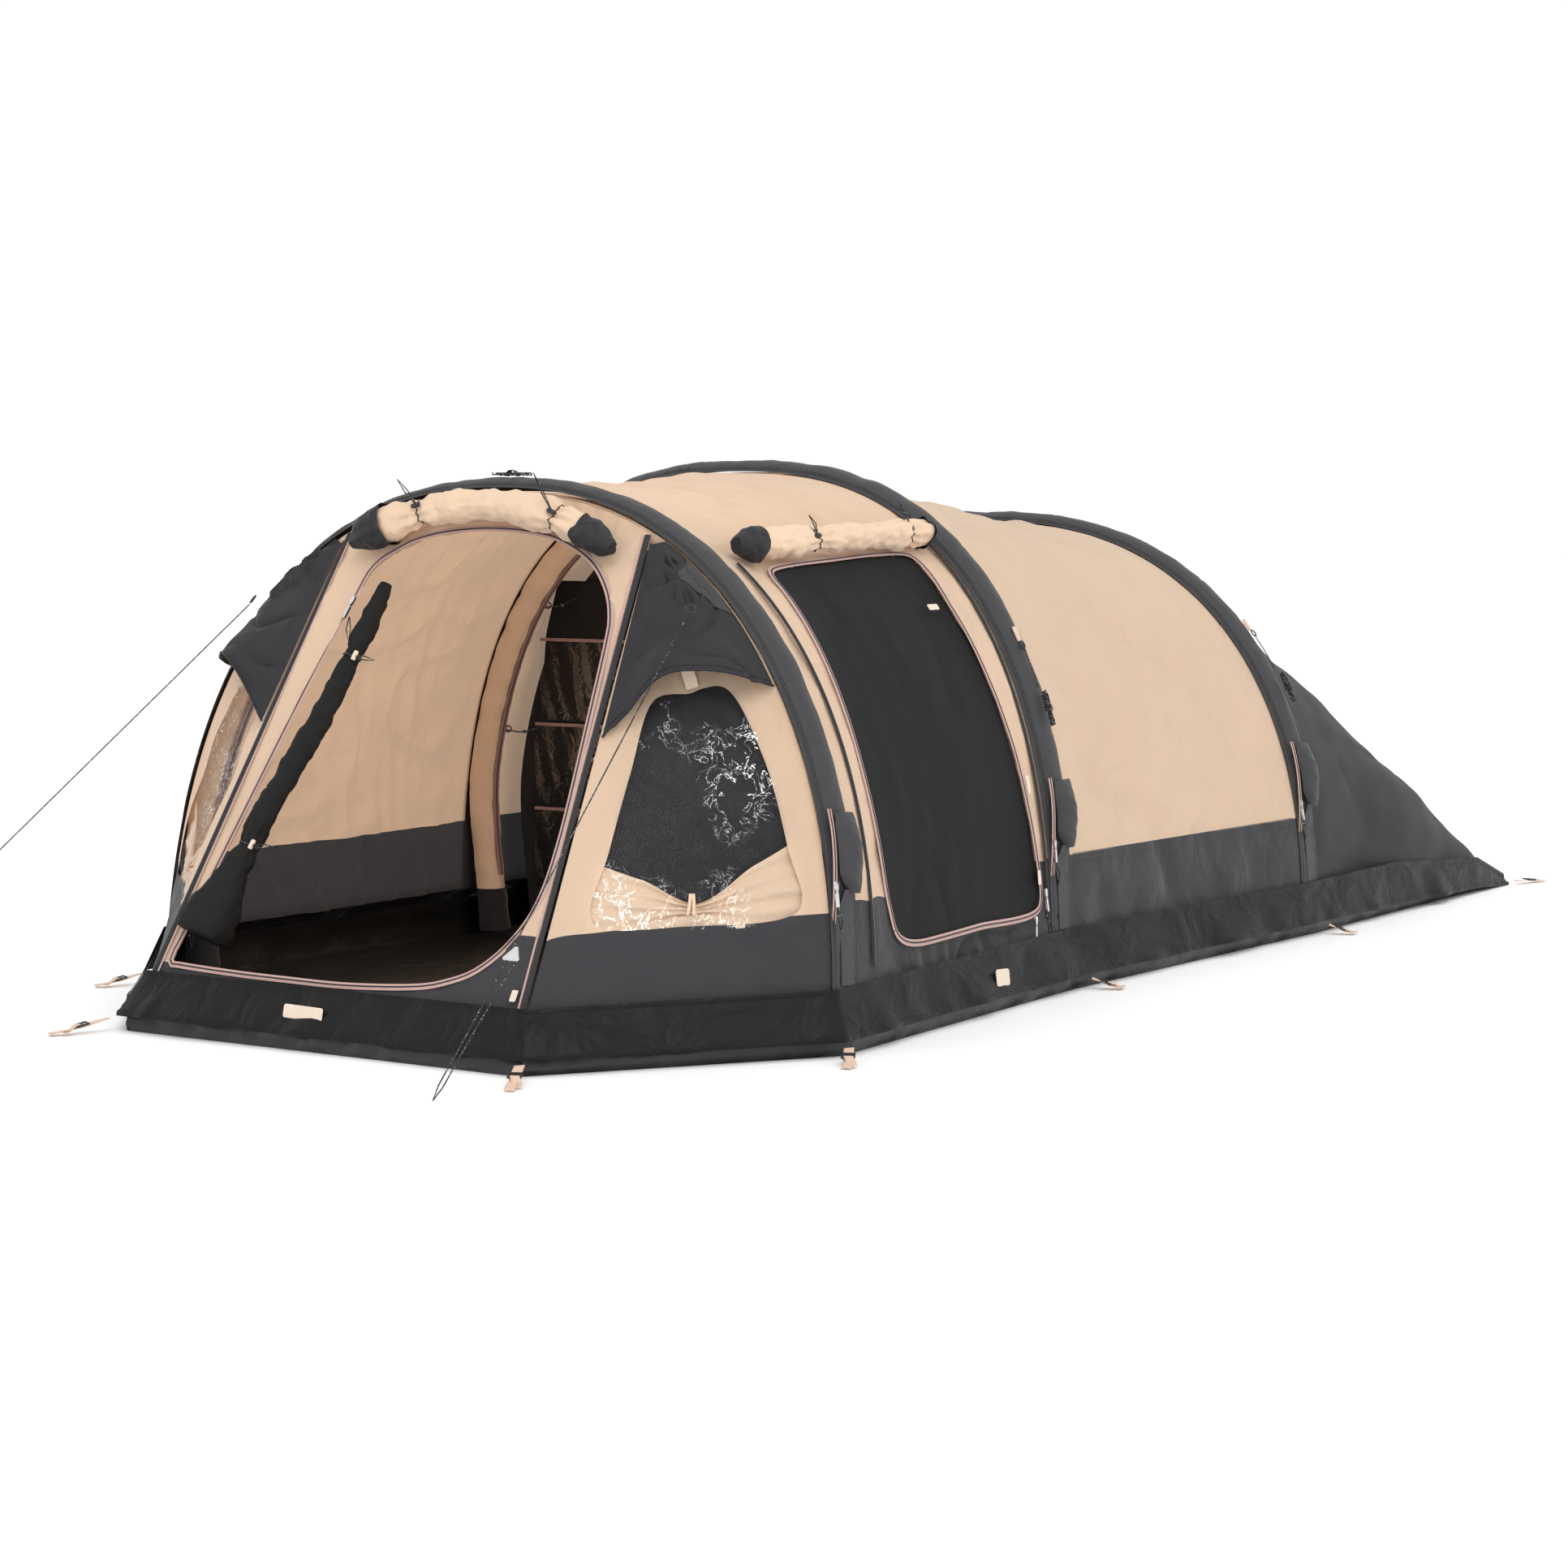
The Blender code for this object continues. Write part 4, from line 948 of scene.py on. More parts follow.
# ------------------------------------------------------------------ arch sleeves: outer band and inner lining
PROF = [(-0.062, 0.0036), (-0.057, 0.0045), (-0.051, 0.011), (-0.043, 0.021), (-0.031, 0.029), (-0.016, 0.0335), (0.0, 0.035),
        (0.016, 0.0335), (0.031, 0.029), (0.043, 0.021), (0.051, 0.011), (0.057, 0.0045), (0.062, 0.0036)]
INN = [(0.050, -0.004), (0.050, -0.014), (0.047, -0.028), (0.040, -0.044), (0.028, -0.057), (0.012, -0.064), (0.0, -0.0655),
       (-0.012, -0.064), (-0.028, -0.057), (-0.040, -0.044), (-0.047, -0.028), (-0.050, -0.014), (-0.050, -0.004)]
for key in ARCHES:
    sa = s_at_z(key, 0.148)
    S = np.concatenate([np.linspace(sa, 0.5, 150), 1 - np.linspace(sa, 0.5, 150)[::-1][1:]])
    rows = []
    for i, s in enumerate(S):
        z = arch(key, s).z
        B = float(smoothstep(z, 0.30, 0.52))
        row = []
        for t, r in PROF:
            rr = 0.0040 + (r - 0.0036) * (0.08 + 0.92 * B)
            row.append(tuple(arch(key, s, rr, t)))
        rows.append(row)
    P = A3(rows)
    N = outward(P, normals(P))
    W = A3([t for t, _ in PROF])
    inner = (1 - (np.abs(W) / 0.062) ** 4)[None, :]
    D = (0.0016 * waves(P, 0.12, 3, ax=(1, 0.35, 1)) - 0.0030 * creases(P, 0.30, 7, ax=(1, 0.2, 1), sharp=10)) * inner
    bag = Bag("arch_band_" + key, DARKS)
    bag.grid(P + N * D[..., None])
    ob = bag.make()
    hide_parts("arch_sleeve_" + key, "air_beam_" + key)
    declare_sheet(area_of(P), (0.165, 3.6))
    S = np.linspace(0.009, 0.991, 230)
    rows, att = [], []
    for s in S:
        z = arch(key, s).z
        fsft = foot_shift(z)
        rows.append([tuple(arch(key, s, r + fsft, t)) for t, r in INN])
        att.append([z - 0.155] * len(INN))
    P = A3(rows)
    N = normals(P)
    c = A3([tuple(arch(key, s, -0.02 + foot_shift(arch(key, s).z))) for s in S])[:, None]
    N = N * np.sign((N * (P - c)).sum(-1).mean())
    ww = A3([t for t, _ in INN])[None, :]
    pucker = np.exp(-((ww + 0.004) / 0.02) ** 2)
    D = 0.0022 * waves(P, 0.13, 5, ax=(1, 0.5, 1)) + 0.0022 * waves(P, 0.045, 8, ax=(1, 0.4, 1)) * (0.35 + pucker) - 0.005 * creases(P, 0.22, 17, ax=(1, 0.5, 1), sharp=8)
    low = smoothstep(A3(att)[:, :1], -0.155, -0.10)
    bag = Bag("sleeve_lining_" + key, SLEEVE_IN)
    bag.grid(P + N * (D * low)[..., None], att=A3(att))
    ob = bag.make(attr="light")
    declare_sheet(area_of(P), (0.215, 3.5))
    # zip along the rear side of the lining
    bag = Bag("sleeve_zip_" + key, [MAUVE, BLACKTAPE])
    Sz = np.linspace(s_at_z(key, 0.20), 1 - s_at_z(key, 0.20), 160)
    pts = [arch(key, s, -0.0665 + foot_shift(arch(key, s).z), -0.004) for s in Sz]
    nn = [(arch(key, s, -0.02 + foot_shift(arch(key, s).z)) - p) * -1 for s, p in zip(Sz, pts)]
    strip(bag, pts, nn, -0.012, 0.012, 0.0040, 0.0015)
    strip(bag, pts, nn, -0.003, 0.003, 0.0050, 0.0016, mat=1, across=3)
    ob = bag.make()

# ------------------------------------------------------------------ front panel
fc, fbox = (0.0, 0.45), (-0.993, 0.993, 0.0, 0.992)
fs = ring_angles(fc, fbox, 230)
K = 14
R1 = [[(fc[0] + math.cos(f) * (star(DOOR_S, fc, f) * (1 - k / K) + box_ray(fc, fbox, f) * k / K),
        fc[1] + math.sin(f) * (star(DOOR_S, fc, f) * (1 - k / K) + box_ray(fc, fbox, f) * k / K)) for k in range(K + 1)] for f in fs]
PF = A3([[tuple(front(*q)) for q in r] for r in R1])
XF, VF = A3([[q[0] for q in r] for r in R1]), A3([[q[1] for q in r] for r in R1])
seam_z = 0.172 + 0.135 * np.clip((XF + 0.8) / 1.6, 0, 1)
att = PF[..., 2] - seam_z
edge = np.minimum(1, np.minimum(1 - np.abs(XF), 1.0) / 0.08).clip(0, 1)
rad = np.arctan2(PF[..., 2] - 1.15, np.abs(PF[..., 0]) - 0.30)
DF = (0.004 * waves(PF, 0.45, 41) + 0.0016 * waves(PF, 0.10, 42, ax=(1.6, 1, 0.6)) + 0.0035 * smoothstep(PF[..., 2], 0.95, 1.15) * np.sin(rad * 16)) * edge
NF = outward(PF, normals(PF), (0, 0.4, 0.6))
bag = Bag("front_panel_cloth", TAN)
bag.grid(PF + NF * DF[..., None], close_i=True, att=att)
ob = bag.make(attr="light")
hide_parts("front_panel")
declare_sheet(area_of(PF, True), (0.10, 3.9))

# ------------------------------------------------------------------ facets, windows, blackout mesh and curtain
wc, wbox = (0.50, 0.60), (0.0, 1.0, 0.145, 1.225)
WINDOW_S = round_loop([(0.150, 0.335), (0.155, 0.50), (0.185, 0.68), (0.245, 0.845), (0.460, 0.872), (0.705, 0.880), (0.815, 0.72), (0.865, 0.504), (0.880, 0.345), (0.480, 0.322)], 10, 0.5)
for side, word in ((1, "right"), (-1, "left")):
    fn = lambda a, b: facet(a, b, side)
    fs = ring_angles(wc, wbox, 170)
    K = 12
    R1 = [[(wc[0] + math.cos(f) * (star(WINDOW_S, wc, f) * (1 - k / K) + box_ray(wc, wbox, f) * k / K),
            wc[1] + math.sin(f) * (star(WINDOW_S, wc, f) * (1 - k / K) + box_ray(wc, wbox, f) * k / K)) for k in range(K + 1)] for f in fs]
    P = A3([[tuple(fn(*q)) for q in r] for r in R1])
    Wq = A3([[q[0] for q in r] for r in R1])
    N = outward(P, normals(P), (0, 0.6, 0.6))
    kk = np.minimum(1, np.minimum(Wq, 1 - Wq) / 0.08).clip(0, 1)
    D = (0.004 * waves(P, 0.35, 51 + side) + 0.0018 * waves(P, 0.09, 53, ax=(1, 1, 0.5)) + 0.0025 * np.sin(14 * np.arctan2(P[..., 2] - 0.62, Wq - 0.5)) * smoothstep(np.abs(P[..., 2] - 0.62), 0.15, 0.35)) * kk
    bag = Bag("facet_cloth_" + word, TAN)
    bag.grid(P + N * D[..., None], close_i=True, att=P[..., 2] - (0.300 + 0.046 * Wq.clip(0, 1) ** 0.6))
    ob = bag.make(attr="light")
    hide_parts("facet_" + word)
    declare_sheet(area_of(P, True), (0.80, 1.10))
    # clear window
    def pane_grid(inset, off, rings=16):
        G = []
        for f in fs:
            r = star(WINDOW_S, wc, f) * inset
            G.append([tuple(facet(wc[0] + math.cos(f) * r * k / rings, wc[1] + math.sin(f) * r * k / rings, side, off)) for k in range(rings + 1)])
        return A3(G)
    P = pane_grid(1.03, -0.0015)
    n0 = A3(tuple((facet(0.5, 0.6, side, 0.01) - facet(0.5, 0.6, side)).normalized()))
    kr = (1 - (np.arange(17) / 16) ** 6)[None, :]
    D = (0.006 * waves(P, 0.22, 61, ax=(1, 1, 0.6)) + 0.003 * waves(P, 0.07, 62, ax=(1, 1, 0.7))) * kr
    bag = Bag("window_film_" + word, PVCM)
    bag.grid(P + n0 * D[..., None], close_i=True)
    ob = bag.make(weld=1e-5)
    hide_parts("facet_window_" + word)
    declare_sheet(area_of(P, True), (0.46, 0.56))
    if side == 1:
        P = pane_grid(1.14, -0.027)
        bag = Bag("window_mesh_" + word, INNERM)
        bag.grid(P + n0 * (0.004 * waves(P, 0.3, 63))[..., None], close_i=True)
        ob = bag.make(weld=1e-5)
        declare_sheet(area_of(P, True), (0.47, 0.58))
    # stowed curtain, gathered at its middle
    Uc, Vc = np.linspace(0, 1, 90), np.linspace(0, 1, 30)
    G = []
    for u in Uc:
        w = 0.125 + 0.785 * u
        q = abs(2 * u - 1)
        top = 0.400 + 0.10 * q ** 1.2 - (0.03 if u < 0.5 else -0.02) * q
        bot = 0.308 + 0.010 * q
        mid = (top + bot) / 2 + 0.006
        pin = 0.32 + 0.68 * float(smoothstep(q, 0.0, 0.55))
        row = []
        for v in Vc:
            z = mid + ((bot + (top - bot) * v) - mid) * (pin if top - bot < 0.2 else 1)
            z = bot + (top - bot) * v if v < 0.02 else z
            pleat = 0.007 * math.sin(v * 26 + 3.0 * q) * (1 - 0.5 * q) + 0.004 * math.sin(v * 11 + 9 * u)
            row.append(tuple(facet(w, z, side, -0.012 + pleat * 0.8)))
        G.append(row)
    G = A3(G)
    bag = Bag("window_curtain_" + word, TAN_LOOSE)
    bag.grid(G)
    ob = bag.make()
    declare_sheet(area_of(G), (0.48, 0.16))
    bag = Bag("curtain_tie_" + word, TAN_LOOSE)
    for dw in (-0.004, 0.006):
        pts = [facet(0.495 + dw * (1 + k / 8), 0.398 - 0.050 * k / 10, side, -0.004 + 0.006 * math.sin(math.pi * k / 10)) for k in range(11)]
        strip(bag, pts, [tuple(n0)] * 11, -0.004, 0.004, 0.002, 0.002)
    bag.make()

# ------------------------------------------------------------------ awnings
for side, word in ((1, "right"), (-1, "left")):
    Uh, Vh = np.linspace(0, 1, 70), np.linspace(0, 1, 42)
    P = P3(lambda a, b: hood(a, b, side), Uh, Vh)
    N = outward(P, normals(P), (0, 0.6, 0.6))
    ux, vx = np.meshgrid(Uh, Vh, indexing="ij")
    kk = np.minimum(1, np.minimum(ux, 1 - ux) / 0.1).clip(0, 1)
    ang = np.arctan2(vx - 0.32, (ux - 0.62))
    rr = np.hypot(vx - 0.32, ux - 0.62)
    tent_pull = 0.022 * np.exp(-(rr / 0.16) ** 2)
    D = (0.007 * waves(P, 0.22, 71) + 0.009 * np.sin(ang * 7 + 0.6) * smoothstep(rr, 0.02, 0.2) * smoothstep(0.75, rr, 0.2) + tent_pull - 0.013 * creases(P, 0.28, 73, sharp=8)) * kk
    bag = Bag("awning_" + word, DARKC)
    bag.grid(P + N * D[..., None])
    P2 = P + N * D[..., None]
    ob = bag.make()
    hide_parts("hood_" + word)
    declare_sheet(area_of(P), (0.75, 0.50))
    bag = Bag("awning_hem_" + word, [DARKC, BLACKTAPE])
    sweep(bag, P2[:, -1], 0.0035, 7)
    e = P2[:, -1] * 0.25 + P2[:, -3] * 0.75
    nn = N[:, -3]
    strip(bag, e, nn, -0.0015, 0.0015, 0.0012, 0.0006, mat=1, across=3)
    bag.make()
    # reinforcement patch where the guy line's ring is sewn on
    bag = Bag("awning_patch_" + word, DARKS)
    G = []
    for i in range(12):
        a = i / 11
        ii = 0.62 + (0.985 - 0.62) * a
        row = []
        for j in range(10):
            b = j / 9
            jj = 0.32 + (b - 0.5) * (0.05 + 0.34 * a)
            x, y = ii * 69, jj * 41
            x0, y0 = int(min(x, 68)), int(min(max(y, 0), 40))
            fx, fy = x - x0, y - y0
            p = P2[x0, y0] * (1 - fx) * (1 - fy) + P2[x0 + 1, y0] * fx * (1 - fy) + P2[x0, y0 + 1] * (1 - fx) * fy + P2[x0 + 1, y0 + 1] * fx * fy
            row.append(p + N[x0, y0] * 0.0022)
        G.append(row)
    G = A3(G)
    bag.grid(G)
    ob = bag.make()
    declare_sheet(area_of(G), (0.24, 0.2))
    if side == 1:
        AWN_R = P2[int(0.62 * 69), int(0.32 * 41)]
        bag = Bag("awning_strap_right", LOOPM)
        pts = [facet(0.455 + 0.035 * k / 8, 0.985 - 0.10 * k / 8, 1, 0.050 * (1 - k / 8) + 0.006) for k in range(9)]
        strip(bag, pts, [tuple(n_) for n_ in [facet(0.5, 0.9, 1, 0.01) - facet(0.5, 0.9, 1)] * 9], -0.016, 0.016, 0.002, 0.001)
        bag.make()

# ------------------------------------------------------------------ side door mesh
fs = ring_angles(door_c, door_box, 190)
G = []
for f in fs:
    r = star(SIDE_S, door_c, f) * 1.012
    G.append([(door_c[0] + math.cos(f) * r * k / 26, door_c[1] + math.sin(f) * r * k / 26) for k in range(27)])
PM = A3([[tuple(bay1(*q)) for q in r] for r in G])
UM, SM = A3([[q[0] for q in r] for r in G]), A3([[q[1] for q in r] for r in G])
NM = unit_out(PM, UM, SM, bay1)
k = (1 - (np.arange(27) / 26) ** 8)[None, :]
DM = (-0.010 + 0.006 * waves(PM, 0.6, 81, ax=(1, 1.2, 1.0)) + 0.0010 * waves(PM, 0.16, 83, ax=(1, 1.6, 0.8)) - 0.009 * creases(PM, 0.6, 82, ax=(1, 1.3, 1.0), sharp=8)) * k - 0.002
bag = Bag("side_door_mesh_panel", MESHM)
bag.grid(PM + NM * DM[..., None], close_i=True)
ob = bag.make(weld=1e-5)
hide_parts("side_door_mesh")
declare_sheet(area_of(PM, True), (0.95, 1.30))

# ------------------------------------------------------------------ tail
U, V = np.linspace(S0C, 1 - S0C, 190), np.linspace(0, 1, 64)
P = P3(tail, U, V)
ux, vx = np.meshgrid(U, V, indexing="ij")
N = outward(P, normals(P), (0, 2.5, 0.0))
side_k = np.minimum(ux, 1 - ux)
fan = np.sin(ux * 150 + 3 * vx) * smoothstep(vx, 0.35, 0.9) * smoothstep(0.36, side_k, 0.12)
k = (np.minimum(1, np.minimum(vx / 0.06, 1.0))).clip(0, 1) * smoothstep(1.0 - vx, 0.0, 0.1)
D = (0.008 * waves(P, 0.7, 91) + 0.003 * waves(P, 0.18, 92, ax=(1.4, 0.6, 1.4)) + 0.0035 * fan - 0.006 * creases(P, 0.6, 93, ax=(1.3, 0.5, 1.3), sharp=8)) * k
bag = Bag("tail_cloth", TAILM)
bag.grid(P + N * D[..., None])
ob = bag.make()
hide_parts("tail_panel")
declare_sheet(area_of(P), (3.4, 2.1))

# ------------------------------------------------------------------ skirt and groundsheet
OUT = 0.005


def skirt_line(rows):
    L = [A3(p, float) for p in rows]
    out = []
    for i, p in enumerate(L):
        q = p.copy()
        q[0] += OUT
        if i == len(L) - 1:
            q[1] -= OUT
            q[0] -= OUT / 2
        out.append(q)
    mir = [q * A3([-1, 1, 1]) for q in out[::-1]]
    return out + mir


def dense(pts, step=0.03):
    out, sharp = [], []
    for a, b in zip(pts, pts[1:]):
        n = max(2, int(np.linalg.norm(b - a) / step))
        for k in range(n):
            out.append(a + (b - a) * k / n)
            sharp.append(k / n)
    out.append(pts[-1])
    return A3(out)


T, H = skirt_line(SKIRT_TOP), skirt_line(SKIRT_HEM)
Td, Hd = [], []
for i in range(len(T) - 1):
    n = max(2, int(np.linalg.norm(T[i + 1] - T[i]) / 0.028))
    for k in range(n):
        Td.append(T[i] + (T[i + 1] - T[i]) * k / n)
        Hd.append(H[i] + (H[i + 1] - H[i]) * k / n)
Td.append(T[-1]); Hd.append(H[-1])
Td, Hd = A3(Td), A3(Hd)
V = np.linspace(0, 1, 13)
P = Td[:, None] * (1 - V)[None, :, None] + Hd[:, None] * V[None, :, None]
N = outward(P, normals(P), (0, 1.5, 0.1))
N[..., 2] *= 0.3
D = (0.005 * waves(P, 0.16, 101, ax=(1, 1, 0.2)) + 0.009 * waves(P, 0.45, 102, ax=(1, 1, 0.1)) + 0.003 * creases(P, 0.2, 103, sharp=6)) * (V ** 1.2)[None, :]
D = np.maximum(D, -0.004)
P2 = P + N * D[..., None]
P2[..., 2] = np.maximum(P2[..., 2], 0.003)
SK, SKN = P2.copy(), N.copy()
bag = Bag("skirt_cloth", SKIRTM)
bag.grid(P2)
ob = bag.make()
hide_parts("skirt")
declare_sheet(area_of(P), (0.125, 12.3))
bag = Bag("skirt_seams", [SKIRTM, BLACKTAPE])
strip(bag, P2[:, 0], N[:, 1], -0.004, 0.010, 0.0012, 0.0008)
strip(bag, P2[:, -1] * 0.80 + P2[:, -3] * 0.2, N[:, -2], -0.007, 0.007, 0.0010, 0.0010)
bag.make()

st = A3(TUB)
ys = [0.0]
rows = []
for i in range(len(TUB) - 1):
    a, b = st[i], st[i + 1]
    n = max(3, int((b[1] - a[1]) / 0.05))
    for k in range(n + (1 if i == len(TUB) - 2 else 0)):
        rows.append(a + (b - a) * k / n)
wall = np.linspace(0, 1, 8)


def station(r, k_front=None):
    x0, y0, x1, y1, h = r
    prof = []
    for w in wall[::-1]:
        prof.append((-(x0 + (x1 - x0) * w + 0.016 * math.sin(math.pi * w) * (h / 0.12)), y0 + (y1 - y0) * w, h * w))
    for q in np.linspace(-1, 1, 30)[1:-1]:
        prof.append((x0 * q, y0, 0.0))
    for w in wall:
        prof.append((x0 + (x1 - x0) * w + 0.016 * math.sin(math.pi * w) * (h / 0.12), y0 + (y1 - y0) * w, h * w))
    return prof


G = A3([station(r) for r in rows])
wav = 0.006 * waves(G, 0.13, 111) + 0.004 * waves(G, 0.05, 112)
side_only = (np.abs(np.arange(G.shape[1]) - (G.shape[1] - 1) / 2) > 13.5)
G[..., 0] += np.sign(G[..., 0]) * wav * side_only[None, :] * (G[..., 2] > 0.004)
G[..., 2] = np.where(side_only[None, :], G[..., 2], 0.0008 + 0.0025 * (waves(G, 0.4, 113) * 0.5 + 0.5).clip(0, 1))
bag = Bag("groundsheet_tub", FLOORM)
bag.grid(G)
F = []
for w in wall:
    a = st[0]
    y = a[1] + (a[3] - a[1]) * w - 0.016 * math.sin(math.pi * w)
    x = a[0] + (a[2] - a[0]) * w + 0.016 * math.sin(math.pi * w)
    F.append([(x * q, y, a[4] * w) for q in np.linspace(-1, 1, 46)])
F = A3(F)
F[1:-1, :, 1] += (0.006 * waves(F, 0.12, 115) + 0.004 * waves(F, 0.05, 116))[1:-1]
bag.grid(F)
ob = bag.make(weld=1e-5)
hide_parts("groundsheet")
declare_sheet(area_of(G) + area_of(F), (2.5, 5.1))


# ------------------------------------------------------------------ zips, piping and seams
def on_front(x, v, out=0.0):
    x, v = float(x), float(v)
    p = front(x, v)
    d1 = front(min(x + 0.02, 0.999), v) - front(max(x - 0.02, -0.999), v)
    d2 = front(x, min(v + 0.02, 1)) - front(x, max(v - 0.02, 0))
    n = d1.cross(d2).normalized()
    if n.y > 0:
        n = -n
    return p + n * out, n


def on_bay(a, b, u, s, out=0.0):
    u, s = float(u), float(s)
    u0 = min(max(u, 0.02), 0.98)
    d1 = bay(a, b, u0 + 0.01, s) - bay(a, b, u0 - 0.01, s)
    d2 = bay(a, b, u, s + 0.003) - bay(a, b, u, s - 0.003)
    n = d1.cross(d2).normalized()
    c = bay(a, b, u, s)
    if n.dot(Vector((c.x, 0, c.z - 0.3))) < 0:
        n = -n
    return c + n * out, n


def tape(bag, fn, pts, a, b, lift, crown=0.0010, mat=0, close=False, across=4):
    q = [fn(*p) for p in pts]
    if close:
        q = q + q[:2]
    return strip(bag, [x[0] for x in q], [x[1] for x in q], a, b, lift, crown, mat=mat, across=across)


def resample(pts, n, closed=False):
    P = A3(pts, float)
    if closed:
        P = np.concatenate([P, P[:1]])
    L = np.concatenate([[0], np.cumsum(np.linalg.norm(np.diff(P, axis=0), axis=1))])
    q = np.linspace(0, L[-1], n)
    return [tuple(np.interp(t, L, P[:, k]) for k in range(P.shape[1])) for t in q]


trim = Bag("front_zip_tape", [PINK, BLACKTAPE, LOOPM])
ds = resample([tuple(p) for p in DOOR_S], 260, True)
tape(trim, lambda x, v: on_front(x, v), ds, -0.013, 0.004, 0.0045, 0.0014)
tape(trim, lambda x, v: on_front(x, v), ds, -0.006, -0.002, 0.0066, 0.0012, mat=1)
for sx in (-1, 1):
    seam = [(sx * 0.985, v) for v in np.linspace(0.0, 0.985, 90)]
    tape(trim, on_front, seam, -0.008, 0.008, 0.0046, 0.0040, mat=1, across=6)
    tape(trim, on_front, seam, 0.010 if sx < 0 else -0.016, 0.016 if sx < 0 else -0.010, 0.0045, 0.0006, mat=0)
trim.make()

trim = Bag("side_zip_tape", [PINK, BLACKTAPE, DARKS])
f1 = lambda u, s: on_bay("front", "middle", u, s)
sd = resample([tuple(p) for p in SIDE_S], 240, True)
tape(trim, f1, sd, -0.014, 0.004, 0.0045, 0.0014)
tape(trim, f1, sd, -0.006, -0.002, 0.0066, 0.0012, mat=1)
for u in (0.075, 0.972):
    seam = [(u, s) for s in np.linspace(0.078, 0.352, 80)]
    tape(trim, f1, seam, -0.006, 0.007, 0.0050, 0.0050, mat=1, across=6)
    tape(trim, f1, seam, 0.007, 0.012, 0.0045, 0.0006)
trim.make()

# stitched edges of the arch bands, and the side seams
stitch = Bag("stitching", [BLACKTAPE])
for key in ARCHES:
    for t in (-0.0515, 0.0515, -0.0475, 0.0475):
        sa = s_at_z(key, 0.16)
        S = np.linspace(sa, 1 - sa, 240)
        pts, nn = [], []
        for s in S:
            B = float(smoothstep(arch(key, s).z, 0.30, 0.52))
            r = 0.0055 + 0.0065 * B if abs(t) > 0.05 else 0.006 + 0.0105 * B
            pts.append(arch(key, s, r + 0.0016, t))
            nn.append(arch(key, s, 0.1, t) - arch(key, s, 0.0, t))
        strip(stitch, pts, nn, -0.0008, 0.0008, 0.0004, 0.0004, across=3)
for ss in (S_SEAM + 0.001, S_SEAM - 0.008):
    for rng in ((0.02, 0.98),):
        tape(stitch, lambda u, s: on_bay("middle", "rear", u, s), [(u, ss) for u in np.linspace(rng[0], rng[1], 60)], -0.0008, 0.0008, 0.0030, 0.0004, across=3)
        tape(stitch, lambda u, s: on_bay("middle", "rear", u, s), [(u, 1 - ss) for u in np.linspace(rng[0], rng[1], 60)], -0.0008, 0.0008, 0.0030, 0.0004, across=3)
stitch.make()


# ------------------------------------------------------------------ rolled doors
def roll(name, path, radius, mat, node, pinches, seed, flat, rests, end_curl=True, folds=3, flare=None, sides=40, n=150, sagk=0.10, up=None, amp=1.0):
    pts = smooth([Vector(p) for p in path], n)
    if len(pts) > 3 * n:
        pts = pts[::max(1, len(pts) // n)]
    L = np.concatenate([[0], np.cumsum([(b - a).length for a, b in zip(pts, pts[1:])])])
    K = L / L[-1]
    pts = [Vector([np.interp(k, K, [p[c] for p in pts]) for c in range(3)]) for k in np.linspace(0, 1, n)]
    Pq, Tq, Aq, Bq = frames(pts, up)
    R = np.zeros(n)
    rng = np.random.RandomState(seed)
    ph = rng.uniform(0, 6.28, 8)
    G = np.zeros((n, sides, 3))
    F = np.linspace(0, 2 * math.pi, sides, endpoint=False)
    for i in range(n):
        k = i / (n - 1)
        pin = 1.0
        for c in pinches:
            pin *= 1 - 0.30 * math.exp(-((k - c) / 0.022) ** 2)
        fat = 1 + 0.07 * math.sin(k * 9 + ph[0]) + 0.05 * math.sin(k * 21 + ph[1])
        rr = radius(k) * pin * fat
        for j, f in enumerate(F):
            spiral = 0.0
            for q in range(folds):
                a = (f - 2 * math.pi * q / folds - 0.9 * math.sin(k * 5 + ph[2 + q]) * 0.5 - ph[q]) % (2 * math.pi)
                spiral += -0.10 * math.exp(-(a / 0.22) ** 2) + 0.07 * math.exp(-((a - 0.55) / 0.5) ** 2)
            d = rr * (1 + amp * spiral)
            G[i, j] = Pq[i] + d * (math.cos(f) * Aq[i] + math.sin(f) * Bq[i])
    C = Pq[:, None]
    Nn = (G - C)
    Nn /= np.linalg.norm(Nn, axis=2, keepdims=True)
    pull = np.zeros((n, 1))
    for c in pinches:
        pull[:, 0] += np.exp(-((np.linspace(0, 1, n) - c) / 0.07) ** 2)
    D = 0.0035 * waves(G, 0.10, seed) + 0.0020 * waves(G, 0.035, seed + 3) + pull * 0.004 * np.sin(F * 9)[None, :]
    D = D * amp - 0.005 * amp * creases(G, 0.16, seed + 5, sharp=6)
    G = G + Nn * D[..., None]
    bag = Bag(name, mat)
    bag.grid(G, close_j=True)
    for e, sgn in ((0, False), (n - 1, True)):
        ring = G[e]
        c = ring.mean(0)
        t = Tq[e] * (-1 if e == 0 else 1)
        rows = [ring]
        for q in (0.82, 0.6, 0.38, 0.16):
            rows.append(c + (ring - c) * q + t * 0.001 * math.cos(q * 9))
        bag.grid(A3(rows), close_j=True, flip=not sgn)
        bag.cap(rows[-1], 0, sgn)
    ob = bag.make(weld=1e-6)
    if node:
        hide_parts(node)
    a = float(np.linalg.norm(G[1:] - G[:-1], axis=2).mean() * 0)
    return ob, G, Pq, Aq, Bq


def measured(ob):
    return sum(p.area for p in ob.data.polygons)


